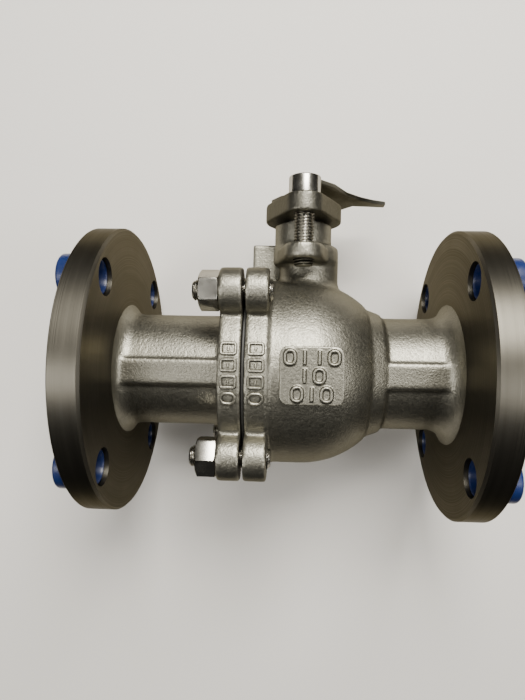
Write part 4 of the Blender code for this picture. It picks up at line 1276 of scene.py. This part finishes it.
def area_light(name, place, size, power, colour):
    """A soft rectangular light that faces the valve."""
    light = bpy.data.lights.new(name, "AREA")
    light.shape = "RECTANGLE"
    light.size, light.size_y = size
    light.energy = power
    light.color = colour
    obj = placed(name, light)
    obj.location = place
    obj.rotation_euler = (-Vector(place)).to_track_quat("-Z", "Y").to_euler()


def make_camera():
    """Camera a short way in front of the valve, level with its pipe axis."""
    yaw, pitch, roll = CAMERA_TURN
    forward = Vector((math.sin(yaw) * math.cos(pitch), math.cos(yaw) * math.cos(pitch),
                      math.sin(pitch)))
    level = Vector((math.cos(yaw), -math.sin(yaw), 0))
    upright = level.cross(forward)
    right = math.cos(roll) * level + math.sin(roll) * upright
    up = math.cos(roll) * upright - math.sin(roll) * level
    data = bpy.data.cameras.new("camera")
    data.lens = CAMERA_LENS
    data.sensor_width = 36
    data.clip_start = 0.01
    camera = placed("camera", data)
    turn = Matrix((right, up, -forward)).transposed().to_4x4()
    camera.matrix_world = Matrix.Translation(CAMERA_PLACE) @ turn
    bpy.context.scene.camera = camera


def studio_world():
    """Dim light from all round, which reads as a pale backdrop past the sheet's edges."""
    world = bpy.data.worlds.new("studio")
    world.use_nodes = True
    tree = world.node_tree
    background = tree.nodes["Background"]
    background.inputs[0].default_value = (0.80, 0.78, 0.75, 1)
    seen = tree.nodes.new("ShaderNodeLightPath")
    strength = tree.nodes.new("ShaderNodeMath")
    strength.operation = "MULTIPLY_ADD"
    strength.inputs[1].default_value = BACKDROP_LEVEL
    strength.inputs[2].default_value = AMBIENT_LEVEL
    tree.links.new(seen.outputs["Is Camera Ray"], strength.inputs[0])
    tree.links.new(strength.outputs[0], background.inputs[1])
    bpy.context.scene.world = world


def make_stage():
    """Pale sheet behind the valve, the lights and the camera."""
    bm = bmesh.new()
    wide, high = SHEET_HALF
    y = FLANGE_R + 0.5 * MM
    corners = [(-wide, y, -high), (wide, y, -high), (wide, y, high), (-wide, y, high)]
    bm.faces.new([bm.verts.new(corner) for corner in corners])
    mesh = bpy.data.meshes.new("sheet")
    bm.to_mesh(mesh)
    bm.free()
    mesh.materials.append(sheet_material())
    sheet = placed("sheet", mesh)
    studio_world()
    area_light("key", (0.13, -0.76, 0.60), (0.46, 0.52), 20.5, KEY_COLOUR)
    area_light("left_fill", (-0.62, -0.85, -0.10), (0.8, 0.36), 5.5, FILL_COLOUR)
    area_light("right_fill", (0.62, -0.85, -0.10), (0.6, 0.36), 3.6, FILL_COLOUR)
    make_camera()


# Operators and panel.

class VALVE_OT_finishes(bpy.types.Operator):
    """Make the materials and the node trees"""

    bl_idname = "valve.finishes"
    bl_label = "Finishes"

    def execute(self, context):
        make_finishes()
        return {"FINISHED"}


class VALVE_OT_end_cap(bpy.types.Operator):
    """Make the end cap"""

    bl_idname = "valve.end_cap"
    bl_label = "End Cap"

    def execute(self, context):
        make_end_cap()
        return {"FINISHED"}


class VALVE_OT_body(bpy.types.Operator):
    """Make the body casting"""

    bl_idname = "valve.body"
    bl_label = "Body"

    def execute(self, context):
        make_body()
        return {"FINISHED"}


class VALVE_OT_bolting(bpy.types.Operator):
    """Make the joint studs, the nuts and the gland screws"""

    bl_idname = "valve.bolting"
    bl_label = "Bolting"

    def execute(self, context):
        for number in (1, 2, 3, 4):
            make_stud(number)
            make_nut(number)
        make_gland_screw("gland_screw_front", -1)
        make_gland_screw("gland_screw_back", 1)
        return {"FINISHED"}


class VALVE_OT_stem(bpy.types.Operator):
    """Make the stem, the stop plate and the gland flange"""

    bl_idname = "valve.stem"
    bl_label = "Stem and Gland"

    def execute(self, context):
        make_stem()
        make_stop_plate()
        make_gland_flange()
        return {"FINISHED"}


class VALVE_OT_ball(bpy.types.Operator):
    """Make the ball, the seats and the seals"""

    bl_idname = "valve.ball"
    bl_label = "Ball and Seals"

    def execute(self, context):
        make_ball()
        make_seals()
        return {"FINISHED"}


class VALVE_OT_covers(bpy.types.Operator):
    """Make the two end covers"""

    bl_idname = "valve.covers"
    bl_label = "End Covers"

    def execute(self, context):
        make_cover("inlet_cover", -1)
        make_cover("outlet_cover", 1)
        return {"FINISHED"}


class VALVE_OT_stage(bpy.types.Operator):
    """Make the sheet, the lights and the camera"""

    bl_idname = "valve.stage"
    bl_label = "Stage"

    def execute(self, context):
        make_stage()
        return {"FINISHED"}


class VALVE_PT_panel(bpy.types.Panel):
    """The valve's sizes, colours and operators"""

    bl_label = "Flanged Ball Valve"
    bl_idname = "VALVE_PT_panel"
    bl_space_type = "VIEW_3D"
    bl_region_type = "UI"
    bl_category = "Valve"

    def draw(self, context):
        for label, kind in GROUPS:
            group = getattr(context.scene, label)
            for name in kind.bl_rna.properties.keys():
                if name not in {"rna_type", "name"}:
                    self.layout.prop(group, name)
        for operator in OPERATORS:
            self.layout.operator(operator.bl_idname)


OPERATORS = (VALVE_OT_finishes, VALVE_OT_end_cap, VALVE_OT_body, VALVE_OT_bolting, VALVE_OT_stem,
             VALVE_OT_ball, VALVE_OT_covers, VALVE_OT_stage)
GROUPS = (("valve_castings", ValveCastings), ("valve_bolting", ValveBolting),
          ("valve_trim", ValveTrim))


def register():
    """Register the classes and put the settings on the scene."""
    for name, group in GROUPS:
        bpy.utils.register_class(group)
        setattr(bpy.types.Scene, name, bpy.props.PointerProperty(type=group))
    for cls in (*OPERATORS, VALVE_PT_panel):
        bpy.utils.register_class(cls)


def unregister():
    """Take the classes and the settings away again."""
    for cls in (VALVE_PT_panel, *reversed(OPERATORS)):
        bpy.utils.unregister_class(cls)
    for name, group in reversed(GROUPS):
        delattr(bpy.types.Scene, name)
        bpy.utils.unregister_class(group)


def main():
    """Make every piece."""
    register()
    bpy.ops.valve.finishes()
    bpy.ops.valve.end_cap()
    bpy.ops.valve.body()
    bpy.ops.valve.bolting()
    bpy.ops.valve.stem()
    bpy.ops.valve.ball()
    bpy.ops.valve.covers()
    bpy.ops.valve.stage()


if __name__ == "__main__":
    main()
